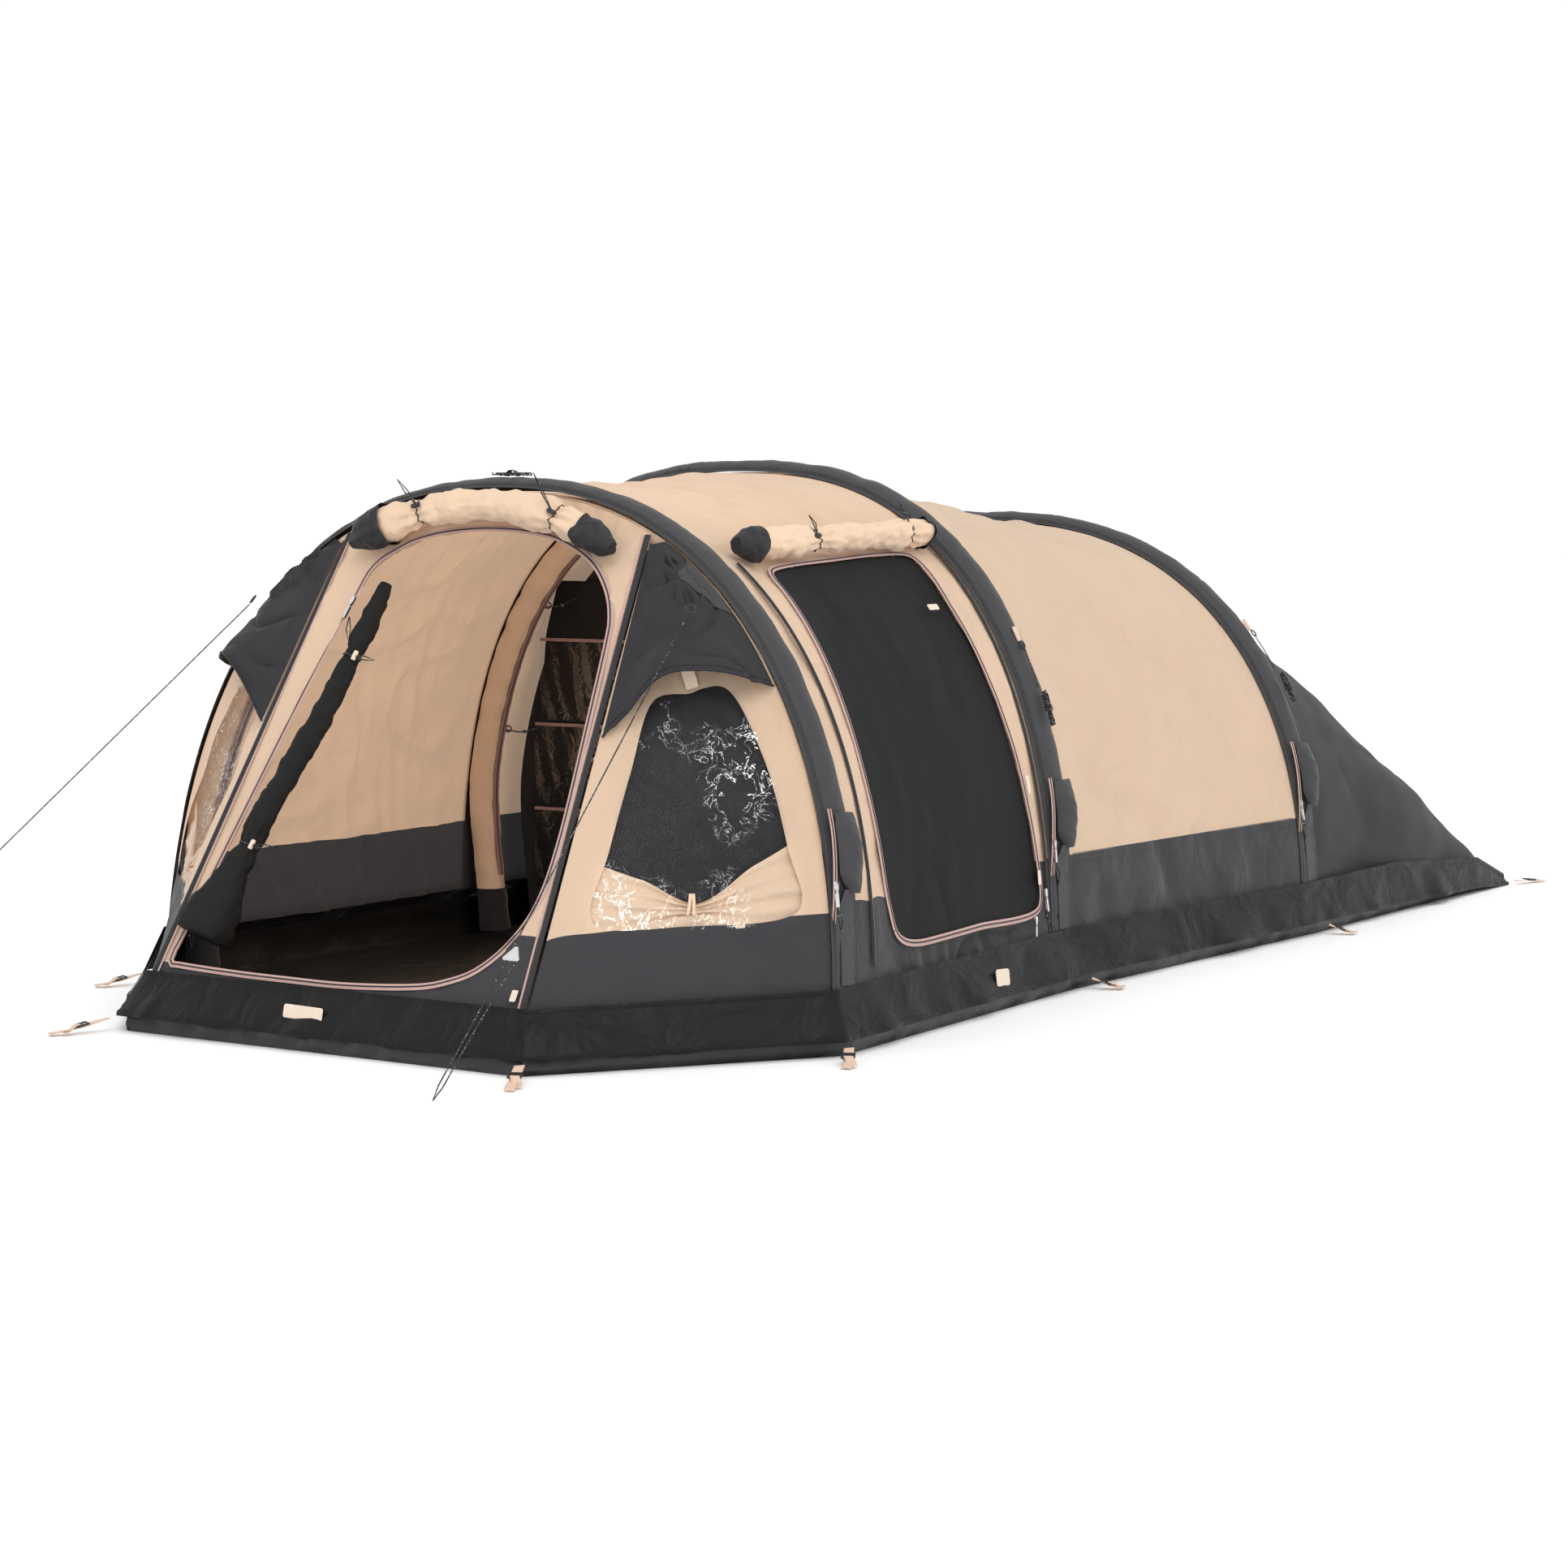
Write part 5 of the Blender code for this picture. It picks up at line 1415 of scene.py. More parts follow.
fpath = []
for i in range(15):
    q = -1 + 2 * i / 14
    fpath.append(on_front(0.03 + 0.80 * q, 0.948 - 0.035 * q * q, 0.047)[0])
ob, GF, PFr, AFr, BFr = roll("front_door_rolled", fpath, lambda k: 0.040 * (0.55 + 0.45 * min(1, min(k, 1 - k) / 0.06)) * (1.0 + 0.10 * math.sin(math.pi * k)), TAN_LOOSE, "front_door_roll", (0.265, 0.786), 5, None, None)
spath = [on_bay("front", "middle", 0.080 + 0.880 * i / 10, 0.358 - 0.008 * i / 10, 0.042)[0] for i in range(11)]
ob, GS, PSr, ASr, BSr = roll("side_door_rolled", spath, lambda k: 0.036 * (0.6 + 0.4 * min(1, min(k, 1 - k) / 0.05)) * (1 + 0.06 * math.sin(math.pi * k)), TAN_LOOSE, "side_door_roll", (0.365, 0.857), 9, None, None)
mpath = [on_front(-0.600 - 0.225 * i / 12, 0.835 - 0.745 * i / 12, -0.034 + 0.028 * min(1, max(0, (i - 4) / 4)))[0] for i in range(13)]


def mesh_r(k):
    r = 0.023 + 0.015 * k + 0.002 * math.sin(k * 8)
    r *= 1 + 0.9 * float(smoothstep(k, 0.80, 0.93)) - 0.25 * float(smoothstep(k, 0.97, 1.0))
    return r * (0.75 + 0.25 * min(1, k / 0.05))


ob, GM, PMr, AMr, BMr = roll("mesh_door_rolled", mpath, mesh_r, MESHM, "mesh_door_roll", (0.21, 0.753), 14, None, None, folds=4, sides=30, amp=0.65)
# dark pockets over the ends of the rolls
bag = Bag("roll_end_pockets", [DARKC])
for G, (k0, k1) in ((GF, (0, 20)), (GF, (132, 149)), (GS, (0, 13)), (GS, (140, 149))):
    Q = G[k0:k1 + 1].copy()
    C = Q.mean(1, keepdims=True)
    m = len(Q)
    kk = np.linspace(0, 1, m) if k0 == 0 else np.linspace(1, 0, m)
    Q = C + (Q - C) * (1.10 + 0.10 * kk[:, None, None] ** 2 + 0.05 * np.sin(np.linspace(0, 2 * math.pi, Q.shape[1], endpoint=False) * 5)[None, :, None] * kk[:, None, None])
    bag.grid(Q, close_j=True)
    e, inn = (Q[0], Q[1]) if k0 == 0 else (Q[-1], Q[-2])
    ax = e.mean(0) - inn.mean(0)
    ax /= np.linalg.norm(ax)
    lip = e.mean(0) + (e - e.mean(0)) * 0.72 + ax * 0.012
    bag.grid(A3([e, lip]), close_j=True, flip=k0 == 0)
    bag.cap(lip, 0, k0 != 0)
bag.make()

# ties round the rolls with their barrel toggles
ties = Bag("roll_ties", [LOOPM, HARD, CORDM])


def tie(G, P, k, out, mat=1, tail=0.06, down=(0, 0, 1), r=0.0016, looped=True):
    i = int(k * (len(P) - 1))
    ring = G[i]
    c = ring.mean(0)
    rr = np.linalg.norm(ring - c, axis=1).mean()
    loop = [Vector(c + (p - c) * (1 + 0.0025 / rr)) for p in ring[::2]]
    sweep(ties, loop + loop[:2], 0.0018, 6, True, mat=2)
    o = Vector(out).normalized()
    p = Vector(c) + o * (rr + 0.006)
    ax = Vector(P[min(i + 1, len(P) - 1)] - P[i]).normalized()
    sweep(ties, [p - ax * 0.013, p - ax * 0.010, p + ax * 0.010, p + ax * 0.013], [0.005, 0.0065, 0.0065, 0.005], 10, True, mat=mat)
    d = Vector(down).normalized()
    if looped:
        pts = [p + d * 0.004, p + d * tail * 0.4 + o * 0.012 - ax * 0.006, p + d * tail * 0.8 + o * 0.016 - ax * 0.014, p + d * tail + o * 0.014 - ax * 0.010,
               p + d * tail * 0.85 + o * 0.016 - ax * 0.002, p + d * tail * 0.4 + o * 0.012 + ax * 0.004, p + d * 0.004 + ax * 0.003]
        sweep(ties, smooth(pts, 5), 0.0017, 6, True, mat=2)


tie(GF, PFr, 0.265, (0, -0.8, 0.5), down=(-0.55, 0, 0.8), tail=0.075)
tie(GF, PFr, 0.786, (0, -0.8, 0.5), down=(-0.4, 0, 0.9), tail=0.095)
tie(GS, PSr, 0.365, (0.8, -0.4, 0.4), down=(-0.5, 0, 0.85), tail=0.055)
tie(GS, PSr, 0.857, (0.8, -0.4, 0.4), down=(-0.5, 0, 0.85), tail=0.075)
tie(GM, PMr, 0.21, (0.8, -0.5, 0.2), mat=0, down=(1, -0.1, -0.35), tail=0.065)
tie(GM, PMr, 0.753, (0.8, -0.5, 0.2), mat=0, down=(1, -0.1, -0.15), tail=0.085)
ties.make()

# ------------------------------------------------------------------ valve covers, which fold with their bodies
for key in ARCHES:
    bag = Bag("valve_flap_" + key, [DARKS, BLACKTAPE], "valve_cover_%s_part" % key)
    lo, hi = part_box("valve_cover_" + key)
    z0, z1 = lo[2], hi[2]
    G = []
    for i in range(30):
        a = i / 29
        z = z0 + (z1 - z0) * a
        s = s_at_z(key, z)
        t0, t1 = -0.043, 0.050
        narrow = float(smoothstep(a, 0.0, 0.30)) ** 0.6
        narrow *= 0.80 + 0.20 * float(smoothstep(1 - a, 0, 0.2))
        row = []
        for j in range(24):
            b = j / 23
            t = t0 * (narrow if b < 0.5 else 1) + 0
            tt = (t0 * narrow) * (1 - b) + t1 * b
            dome = (math.sin(math.pi * b) ** 0.55) * (math.sin(math.pi * min(1, max(0, a * 0.96 + 0.02))) ** 0.45)
            r = foot_shift(z) + 0.0385 + 0.030 * dome + 0.0016 * math.sin(9 * a + 4 * b) * dome + 0.0012 * math.sin(31 * a + 11 * b) * dome
            row.append(tuple(arch(key, s, r, tt)))
        G.append(row)
    G = A3(G)
    bag.grid(G)
    ob = bag.make()
    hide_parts("valve_cover_" + key)
    declare_sheet(area_of(G), (0.13, 0.20))
    # zip along the front edge of the cover, with the plain strip below
    bag = Bag("valve_zip_" + key, [PINK, BLACKTAPE, DARKS])
    zs = np.linspace(z0 - 0.07, z1 + 0.01, 40)
    pts = [arch(key, s_at_z(key, z), foot_shift(z) + 0.026 + 0.006 * float(smoothstep(z, z0, z1)), -0.0475) for z in zs]
    nn = [arch(key, s_at_z(key, z), 0.2, -0.09) - arch(key, s_at_z(key, z), 0.0, 0.0) for z in zs]
    strip(bag, pts, nn, -0.006, 0.006, 0.0015, 0.0012, mat=0)
    strip(bag, pts, nn, -0.0016, 0.0016, 0.0030, 0.0010, mat=1, across=3)
    zs = np.linspace(0.165, z0 + 0.01, 30)
    pts = [arch(key, s_at_z(key, z), 0.0065 + 0.03 * float(smoothstep(z, 0.34, 0.42)), -0.004) for z in zs]
    nn = [arch(key, s_at_z(key, z), 0.1) - arch(key, s_at_z(key, z), 0.0) for z in zs]
    strip(bag, pts, nn, -0.022, 0.022, 0.0015, 0.0010, mat=2)
    bag.make()

# ------------------------------------------------------------------ inner tent
def ring_in(key, r, t, n, base):
    s0 = s_at_z(key, base)
    return A3([tuple(arch(key, s, r + foot_shift(arch(key, s).z), t)) for s in np.linspace(s0, 1 - s0, n + 1)])


NI = 70
rA, rB = ring_in("middle", -0.090, 0.100, NI, 0.02), ring_in("rear", -0.120, -0.10, NI, 0.02)
rC = A3([(p[0] * 0.93, 3.38 - 0.10 * p[2], 0.016 + (p[2] - 0.016) * 0.47) for p in rB])
rows = [rA * (1 - k) + rB * k for k in np.linspace(0, 1, 24)] + [rB * (1 - k) + rC * k for k in np.linspace(0, 1, 14)[1:]]
P = A3(rows)
N = normals(P)
N *= np.sign((N * (P - P.mean((0, 1)))).sum(-1, keepdims=True))
w = np.sin(np.pi * np.linspace(0, 1, len(rows)))[:, None]
P2 = P + N * ((-0.012 * w + 0.006 * waves(P, 0.4, 121) * w)[..., None])
P2[..., 2] = np.maximum(P2[..., 2], 0.012)
bag = Bag("cabin_cloth", INNERM)
bag.grid(P2)
half = NI // 2
Gr = A3([[P2[-1, j] * (1 - t) + P2[-1, NI - j] * t for t in np.linspace(0, 1, 30)] for j in range(half + 1)])
bag.grid(Gr)
Gf = A3([[P2[i, 0] * (1 - t) + P2[i, NI] * t for t in np.linspace(0, 1, 30)] for i in range(len(rows))])
bag.grid(Gf, flip=True)
ob = bag.make(weld=1e-5)
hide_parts("inner_tent")
declare_sheet(area_of(P) + area_of(Gr) + area_of(Gf), (3.4, 4.4))

k_out = [(p[0], p[2]) for p in ring_in("middle", -0.096, 0.088, 80, 0.03)]
INNER_DOOR = [(-0.10, 0.10), (0.70, 0.10), (0.78, 0.20), (0.78, 0.62), (0.66, 0.92), (0.42, 1.08), (0.12, 1.10), (-0.08, 0.98), (-0.16, 0.70), (-0.16, 0.20)]
lean_m, y_m = ARCHES["middle"][4], ARCHES["middle"][3]


def inner_front(x, z):
    return Vector((x, y_m + lean_m * z + 0.086, z))


cen = (0.30, 0.55)
INN_S = round_loop([tuple(p) for p in INNER_DOOR], 8)
rows = []
for i in range(120):
    f = 2 * math.pi * i / 120
    ri, ro = star(INN_S, cen, f), star(k_out, cen, f)
    rows.append([tuple(inner_front(cen[0] + math.cos(f) * (ri + (ro - ri) * k / 16), cen[1] + math.sin(f) * (ri + (ro - ri) * k / 16))) for k in range(17)])
P = A3(rows)
kk = np.sin(np.pi * np.linspace(0, 1, 17))[None, :]
P2 = P.copy()
P2[..., 1] += (0.004 * waves(P, 0.3, 131) + 0.003 * waves(P, 0.1, 132)) * kk
bag = Bag("cabin_front_cloth", INNERM)
bag.grid(P2, close_i=True)
ob = bag.make()
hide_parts("inner_front_wall")
declare_sheet(area_of(P, True), (2.0, 1.25))
bag = Bag("cabin_door_zip", [MAUVE, BLACKTAPE])
q = resample([tuple(p) for p in INN_S], 160, True)
strip(bag, [inner_front(*p) for p in q], [(0, -1, 0)] * len(q), -0.010, 0.006, 0.004, 0.0012)
strip(bag, [inner_front(*p) for p in q], [(0, -1, 0)] * len(q), -0.004, 0.000, 0.0058, 0.001, mat=1, across=3)
bag.make()

# pockets of clear film on a mesh back, with bound tops
prof = [(0.16, 0.20, 0.012), (0.40, 0.20, 0.030), (0.41, 0.20, 0.012), (0.66, 0.19, 0.030), (0.67, 0.19, 0.012), (0.92, 0.17, 0.026), (0.93, 0.17, 0.012), (1.10, 0.14, 0.012)]
zz = [p[0] for p in prof]
G = []
for z in np.linspace(0.16, 1.10, 60):
    hw = np.interp(z, zz, [p[1] for p in prof])
    G.append([tuple(inner_front(-0.50 + hw * a, z) + Vector((0, -0.012 - 0.002 * math.sin(7 * a + 20 * z), 0))) for a in np.linspace(-1.7, 1, 30)])
G = A3(G)
bag = Bag("pocket_panel", MESHM)
bag.grid(G)
ob = bag.make()
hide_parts("organizer")
declare_sheet(area_of(G), (0.54, 0.96))
film = Bag("pocket_film", PVCM)
bind = Bag("pocket_bindings", [MAUVE])
af = 0
for za, zb, hw in ((0.165, 0.40, 0.20), (0.415, 0.66, 0.195), (0.675, 0.92, 0.18)):
    G = []
    for z in np.linspace(za, zb, 26):
        b = (z - za) / (zb - za)
        row = []
        for a in np.linspace(-1.68, 1, 46):
            bulge = 0.016 * math.sin(math.pi * min(1, b * 0.9 + 0.02)) * abs(math.sin(math.pi * (a + 1))) ** 0.6 + 0.004 * math.sin(19 * a + 23 * z) * 0.5
            row.append(tuple(inner_front(-0.50 + hw * a, z) + Vector((0, -0.016 - bulge, 0))))
        G.append(row)
    G = A3(G)
    film.grid(G)
    af += area_of(G)
    strip(bind, G[-1], [(0, -1, 0)] * len(G[-1]), -0.005, 0.005, 0.0010, 0.0014)
ob = film.make()
declare_sheet(af, (0.53, 0.76))
for a, hw0, hw1 in ((1, 0.20, 0.14),):
    zr = np.linspace(0.16, 1.10 if a else 0.92, 40)
    hw = [np.interp(z, zz, [p[1] for p in prof]) for z in zr]
    strip(bind, [inner_front(-0.50 + a * h, z) + Vector((0, -0.017, 0)) for h, z in zip(hw, zr)], [(0, -1, 0)] * 40, -0.006, 0.006, 0.0010, 0.0014)
bind.make()


# ------------------------------------------------------------------ peg straps with their ladder locks
def strap_piece(word, root, foot, double=False):
    for side, hand in ((1, "right"), (-1, "left")):
        r, f = Vector((root[0] * side, root[1], root[2])), Vector((foot[0] * side, foot[1], foot[2]))
        d = f - r
        flat = Vector((d.x, d.y, 0)).normalized()
        across = Vector((-flat.y, flat.x, 0))
        m = r.lerp(f, 0.62)
        m.z = 0.006 + 0.25 * (r.z - 0.006)
        pts = smooth([r, r.lerp(m, 0.5), m, f], 10)
        bag = Bag("webbing_%s_%s" % (word, hand), [WEBM, HARD])
        G = []
        for i, p in enumerate(pts):
            k = i / (len(pts) - 1)
            row = []
            for a in np.linspace(-1, 1, 7):
                row.append(tuple(p + across * (0.0125 * a) + Vector((0, 0, 0.0010 + 0.0012 * math.sin(9 * k + a)))))
            row2 = [(x, y, max(z - 0.0018, 0.001)) for x, y, z in row[::-1]]
            G.append(row + row2)
        G = A3(G)
        bag.grid(G, close_j=True)
        bag.cap(G[0], 0)
        bag.cap(G[-1], 0, True)
        # ladder-lock buckle at two fifths of the strap
        c = pts[int(len(pts) * 0.42)]
        t = (pts[int(len(pts) * 0.42) + 1] - c).normalized()
        nz = t.cross(across).normalized()
        if nz.z < 0:
            nz = -nz
        for q in (-0.013, 0.0, 0.013):
            block(bag, c + t * q + nz * 0.005, across, t, nz, 0.034, 0.0045, 0.0045, mat=1)
        for q in (-0.0155, 0.0155):
            block(bag, c + across * q + nz * 0.005, t, across, nz, 0.031, 0.004, 0.0045, mat=1)
        # loose end lying on the ground
        e = [c + t * 0.006 + nz * 0.007, c + t * 0.022 + nz * 0.008 + across * 0.004, c + t * 0.040 + across * 0.010, c + t * 0.058 + across * 0.013]
        for q in e[2:]:
            q.z = max(0.009, q.z * 0.5 + 0.004)
        e = smooth(e, 6)
        T = []
        for p in e:
            row = [tuple(p + across * (0.0115 * a)) for a in np.linspace(-1, 1, 5)]
            T.append(row + [(x, y, z - 0.0016) for x, y, z in row[::-1]])
        T = A3(T)
        bag.grid(T, close_j=True)
        bag.cap(T[0], 0)
        bag.cap(T[-1], 0, True)
        ob = bag.make()
        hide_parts("peg_strap_%s_%s" % (word, hand))


strap_piece("front", (0.655, -0.722, 0.034), (0.730, -0.860, 0.004))
strap_piece("arch_front", (1.160, -0.075, 0.030), (1.225, -0.190, 0.004))
strap_piece("arch_middle", (1.114, 1.279, 0.030), (1.190, 1.314, 0.004))
strap_piece("arch_rear", (1.200, 2.700, 0.030), (1.270, 2.730, 0.004))
strap_piece("tail", (1.212, 4.285, 0.012), (1.270, 4.425, 0.004))

# ------------------------------------------------------------------ guy lines
RING, PEG_R, PEG_L = Vector((0.712, -0.105, 1.070)), Vector((0.669, -1.061, 0.006)), Vector((-1.500, -0.860, 0.006))


def guy_route(ring, peg, run=0.72, gap=0.020):
    d = (peg - ring)
    side = Vector((d.y, -d.x, 0)).normalized()
    r1 = ring.lerp(peg, run)
    mid = ring.lerp(peg, run * 0.5)
    low = peg + Vector((0, 0, 0.004)) - d.normalized() * 0.02
    return [ring, mid, r1, r1.lerp(peg, 0.5) + side * 0.002, low + side * 0.004, peg - side * 0.002, low - side * 0.010,
            r1.lerp(peg, 0.5) - side * gap * 0.75, r1 - side * gap * 1.5], r1, d.normalized(), side


def cord_curve(name, pts, node, d=GUY_D, **kw):
    cu = bpy.data.curves.new(name, "CURVE")
    cu.dimensions = "3D"
    cu.bevel_depth = d / 2
    cu.bevel_resolution = 2
    cu.use_fill_caps = True
    sp = cu.splines.new("POLY")
    sp.points.add(len(pts) - 1)
    for q, p in zip(sp.points, pts):
        q.co = (p[0], p[1] - Y_MID, p[2], 1)
    cu.materials.append(CORDM)
    ob = bpy.data.objects.new(name, cu)
    bpy.context.scene.collection.objects.link(ob)
    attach(ob, "tent")
    if node:
        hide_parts(*([node] if isinstance(node, str) else node))
    return ob


route, RUN_P, RUN_D, RUN_S = guy_route(RING, PEG_R)
cord_curve("guy_cord_front_right", smooth(route, 46), "guy_line_front_right", far_end="fitting", stiffness="limp", lay="taut", with_pieces=[frame["nodes"]["guy_runner"]])
ringL = Vector((-RING.x, RING.y, RING.z))
cord_curve("guy_cord_front_left", smooth([ringL, ringL.lerp(PEG_L, 0.5), PEG_L], 20), "guy_line_front_left", far_end="knot", stiffness="limp", lay="taut")
for key, z0, zh in (("middle", 0.93, 0.76), ("rear", 0.90, 0.74)):
    t0 = 0.0 if key == "middle" else 0.030
    top = [arch(key, s_at_z(key, z), foot_shift(z) + 0.0405 + (0.0 if t0 == 0 else -0.002), t0) for z in (z0, (z0 + zh + 0.06) / 2, zh + 0.058)]
    s = s_at_z(key, zh)
    nor, tan, tw = arch_dirs(key, s)
    c = arch(key, s, foot_shift(zh) + 0.052, t0)
    nor, tan, tw = Vector(nor).normalized(), Vector(tan).normalized(), Vector(tw).normalized()
    line = smooth(top, 10)
    # figure-of-eight turns of the hank, folded in line with the arch
    turns = 9
    wind = []
    for i in range(turns * 18 + 1):
        f = 2 * math.pi * i / 18
        k = i / (turns * 18)
        hw = 0.0085 + 0.0018 * math.sin(5.1 * k * 6.28)
        hh = 0.046 + 0.004 * math.sin(3.3 * k * 6.28)
        wind.append(c + tw * (hw * math.sin(2 * f) * 0.6 + 0.004 * math.sin(f)) + tan * (hh * math.cos(f)) + nor * ((k - 0.5) * 0.013))
    cord_curve("guy_cord_" + key, line, "guy_line_" + key, far_end="object", stiffness="limp", lay="hanging")
    cord_curve("guy_coil_" + key, wind, "guy_hank_" + key, d=0.0028, far_end="bare", stiffness="limp", lay="coiled")
    bag = Bag("hank_tie_" + key, [CORDM, HARD, WEBM])
    for dz in (-0.006, 0.0, 0.006):
        ring = [c + tan * dz + tw * (0.0135 * math.cos(f)) + nor * (0.0098 * math.sin(f)) for f in np.linspace(0, 2 * math.pi, 19)]
        sweep(bag, ring, 0.0018, 6, False)
    # tab and ring where the line is hung
    q = arch(key, s_at_z(key, z0 + 0.02), foot_shift(z0) + 0.037, t0)
    n2, t2, w2 = (Vector(v).normalized() for v in arch_dirs(key, s_at_z(key, z0)))
    block(bag, q + t2 * 0.012, w2, t2, n2, 0.022, 0.045, 0.004, mat=2)
    torus(bag, q - t2 * 0.022 + n2 * 0.003, n2, 0.011, 0.0022, up=t2, mat=1)
    bag.make()

# rings on the awnings and the daisy-chained cord over the front arch
bag = Bag("awning_rings", [HARD, WEBM])
for side in (1, -1):
    p = Vector((RING.x * side, RING.y, RING.z))
    q = p + Vector((0, 0.012, 0.012))
    torus(bag, q, (side * 0.5, -0.6, 0.6), 0.012, 0.0022, mat=0)
bag.make()
s = 0.5
nor, tan, tw = (Vector(v).normalized() for v in arch_dirs("front", s))
c = arch("front", s, 0.040)
chain = []
for i in range(9 * 14 + 1):
    k = i / (9 * 14)
    f = 2 * math.pi * i / 14
    chain.append(c + tan * (-0.055 + 0.110 * k + 0.009 * math.cos(f)) + tw * (0.012 * math.sin(f)) + nor * (0.004 + 0.003 * math.cos(2 * f) + 0.0))
bag = Bag("apex_chain", [CORDM, DARKS])
sweep(bag, chain, 0.0018, 6)
lp = [c + tan * (0.016 * math.cos(f)) + nor * (-0.002 + 0.016 * math.sin(f)) for f in np.linspace(0, math.pi, 12)]
strip(bag, lp, [tw] * 12, -0.001, 0.001, 0.0, 0.0, mat=1, thick=0.0)
G = A3([[tuple(p + tw * a) for a in (-0.010, 0.010)] for p in lp])
bag.grid(G, mat=1)
bag.make()


# ------------------------------------------------------------------ sewn-on labels and zip pulls
bag = Bag("blank_labels", [TAGM, LOOPM])


def label(p, n, up, w, h):
    n, up = Vector(n).normalized(), Vector(up).normalized()
    u = up.cross(n).normalized()
    block(bag, Vector(p) + n * 0.003, u, n.cross(u), n, w, h, 0.002, bev=0.3)


for u, s, w, h in ((0.76, 0.302, 0.050, 0.018), (0.925, 0.187, 0.016, 0.05), (0.925, 0.125, 0.016, 0.04)):
    p, n = on_bay("front", "middle", u, s, 0.006)
    label(p, n, (0, 0, 1), w, h)
p, n = on_front(0.93, 0.03, 0.006)
label(p, n, (0, 0, 1), 0.018, 0.03)
for tx, ty, w, h in ((-0.06, -0.72, 0.125, 0.034), (1.15, 0.80, 0.075, 0.045)):
    i = int(np.argmin(np.hypot(SK[:, 6, 0] - tx, SK[:, 6, 1] - ty)))
    n = Vector(SKN[i, 6])
    label(Vector(SK[i, 6 if tx < 0 else 7]) + n * 0.003, n, SK[i, 3] - SK[i, 9], w, h)
bag.make()
pulls = {}
for node, body in (("slider_front_upper", "front_zip_upper"), ("slider_front_lower", "front_zip_lower"), ("slider_side_sill", "side_zip_sill"), ("slider_side_post", "side_zip_post"),
                   ("slider_valve_front", "slider_valve_front_part"), ("slider_valve_middle", "slider_valve_middle_part"), ("slider_valve_rear", "slider_valve_rear_part")):
    lo, hi = (A3(c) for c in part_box(node))
    m = (lo + hi) / 2
    p = Vector((m[0], m[1] + Y_MID, lo[2] + 0.004))
    bag = Bag("pull_" + node, [CORDM], body)
    out = Vector((0.3 if "front" in node and "valve" not in node else 0.9, -0.9 if "front" in node and "valve" not in node else -0.15, 0)).normalized()
    sd_ = Vector((-out.y, out.x, 0))
    pts = [p, p + sd_ * 0.006 + out * 0.011 - Vector((0, 0, 0.018)), p + sd_ * 0.007 + out * 0.011 - Vector((0, 0, 0.050)), p + out * 0.011 - Vector((0, 0, 0.064)),
           p - sd_ * 0.006 + out * 0.010 - Vector((0, 0, 0.046)), p - sd_ * 0.004 + out * 0.010 - Vector((0, 0, 0.016)), p + out * 0.001]
    sweep(bag, smooth(pts, 5), 0.0017, 6)
    bag.make()

# toggles and loops that hang the cabin from the middle arch's lining
bag = Bag("cabin_hangers", [CORDM, HARD])
for z in (1.06, 0.66):
    for side in (1, -1):
        s = s_at_z("middle", z)
        s = s if side > 0 else 1 - s
        a = arch("middle", s, -0.0665 + foot_shift(z), 0.004)
        b = Vector((a.x * 0.90, ARCHES["middle"][3] + ARCHES["middle"][4] * z + 0.074, z - 0.010))
        m = a.lerp(b, 0.5) - Vector((0, 0, 0.012))
        sweep(bag, smooth([a, m, b], 8), 0.0022, 6)
        q = a.lerp(b, 0.55) - Vector((0, 0, 0.011))
        d = (b - a).normalized()
        w = d.cross(Vector((0, 0, 1))).normalized()
        sweep(bag, [q - w * 0.016, q - w * 0.012, q + w * 0.012, q + w * 0.016], [0.004, 0.0055, 0.0055, 0.004], 10, True, mat=1)
        torus(bag, a + d * 0.014, w, 0.009, 0.0024, mat=1)
bag.make()

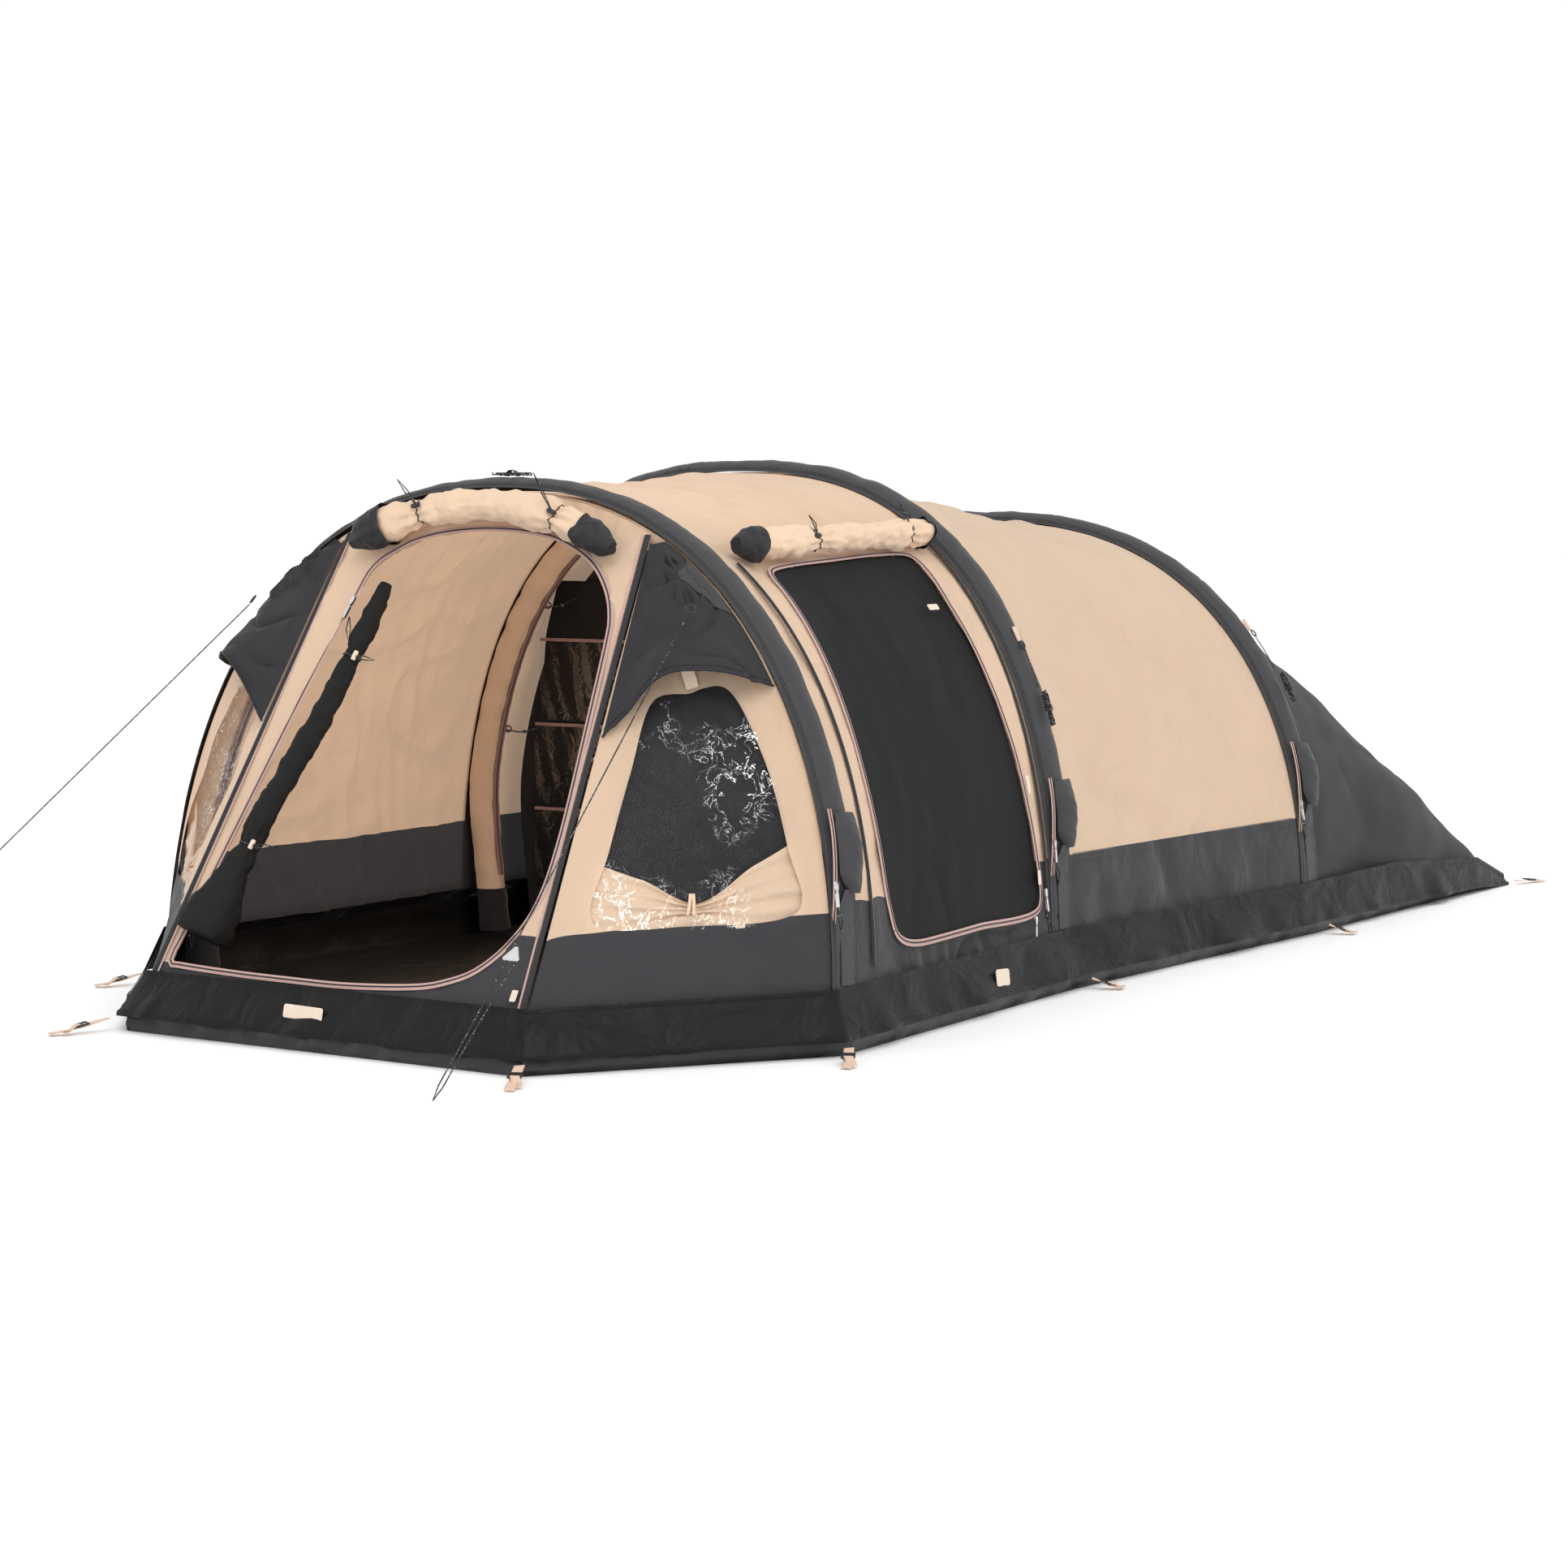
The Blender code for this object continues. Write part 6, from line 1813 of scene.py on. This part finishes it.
# ------------------------------------------------------------------ CAD nodes kept as they are get finished materials
FIN = {"inner": INNERM, "valve_cap": HARD, "valve_": HARD, "slider": STEEL, "guy_runner": STEEL, "peg_strap": WEBM, "organizer": MESHM}
DEFAULTS = {"polycotton_beige": TAN_LOOSE, "polycotton_charcoal": DARKC, "groundsheet_black": FLOORM, "door_mesh_black": MESHM, "clear_pvc": PVCM,
            "beam_film": FILM, "moulded_black": HARD, "zip_metal": STEEL, "runner_metal": STEEL, "webbing_beige": WEBM, "cord_black": CORDM, "inner_cloth": INNERM}
slots = {sp["node"]: sp["material_slot"] for sp in frame["record"]["subparts"]}
for name, ob in frame["nodes"].items():
    if ob.hide_render:
        continue
    m = DEFAULTS[slots[name]]
    if not ob.data.materials:
        ob.data.materials.append(m)
    for i in range(len(ob.material_slots)):
        ob.material_slots[i].material = m

# ------------------------------------------------------------------ floor and light
me = bpy.data.meshes.new("studio_floor")
me.from_pydata([(-60, -60, -0.001), (60, -60, -0.001), (60, 60, -0.001), (-60, 60, -0.001)], [], [(0, 1, 2, 3)])
floor = bpy.data.objects.new("studio_floor", me)
bpy.context.scene.collection.objects.link(floor)
fm = bpy.data.materials.new("studio_floor")
fm.use_nodes = True
fm.node_tree.nodes["Principled BSDF"].inputs["Base Color"].default_value = (0.97, 0.97, 0.97, 1)
fm.node_tree.nodes["Principled BSDF"].inputs["Roughness"].default_value = 0.9
fm.node_tree.nodes["Principled BSDF"].inputs["Specular IOR Level"].default_value = 0.1
me.materials.append(fm)
world = bpy.data.worlds.new("studio")
bpy.context.scene.world = world
world.use_nodes = True
world.node_tree.nodes["Background"].inputs[0].default_value = (1, 1, 1, 1)
world.node_tree.nodes["Background"].inputs[1].default_value = 1.02
bpy.context.scene.view_settings.view_transform = "Standard"


def sun(name, energy, angle, direction):
    l = bpy.data.lights.new(name, "SUN")
    l.energy = energy
    l.angle = math.radians(angle)
    o = bpy.data.objects.new(name, l)
    bpy.context.scene.collection.objects.link(o)
    o.rotation_euler = Vector(direction).to_track_quat("-Z", "Y").to_euler()


sun("key", 1.0, 40, (-0.45, 0.55, -0.75))
sun("side", 0.30, 50, (-0.9, 0.1, -0.35))
# soft fill under the roof of the front room
fl = bpy.data.lights.new("room_fill", "AREA")
fl.shape = "DISK"
fl.size = 0.9
fl.energy = 9.0
fl.color = (1.0, 0.80, 0.66)
fo = bpy.data.objects.new("room_fill", fl)
bpy.context.scene.collection.objects.link(fo)
fo.location = (0.55, -1.35, 0.60)
fo.rotation_euler = Vector((-0.9, 0.35, -0.02)).to_track_quat("-Z", "Y").to_euler()
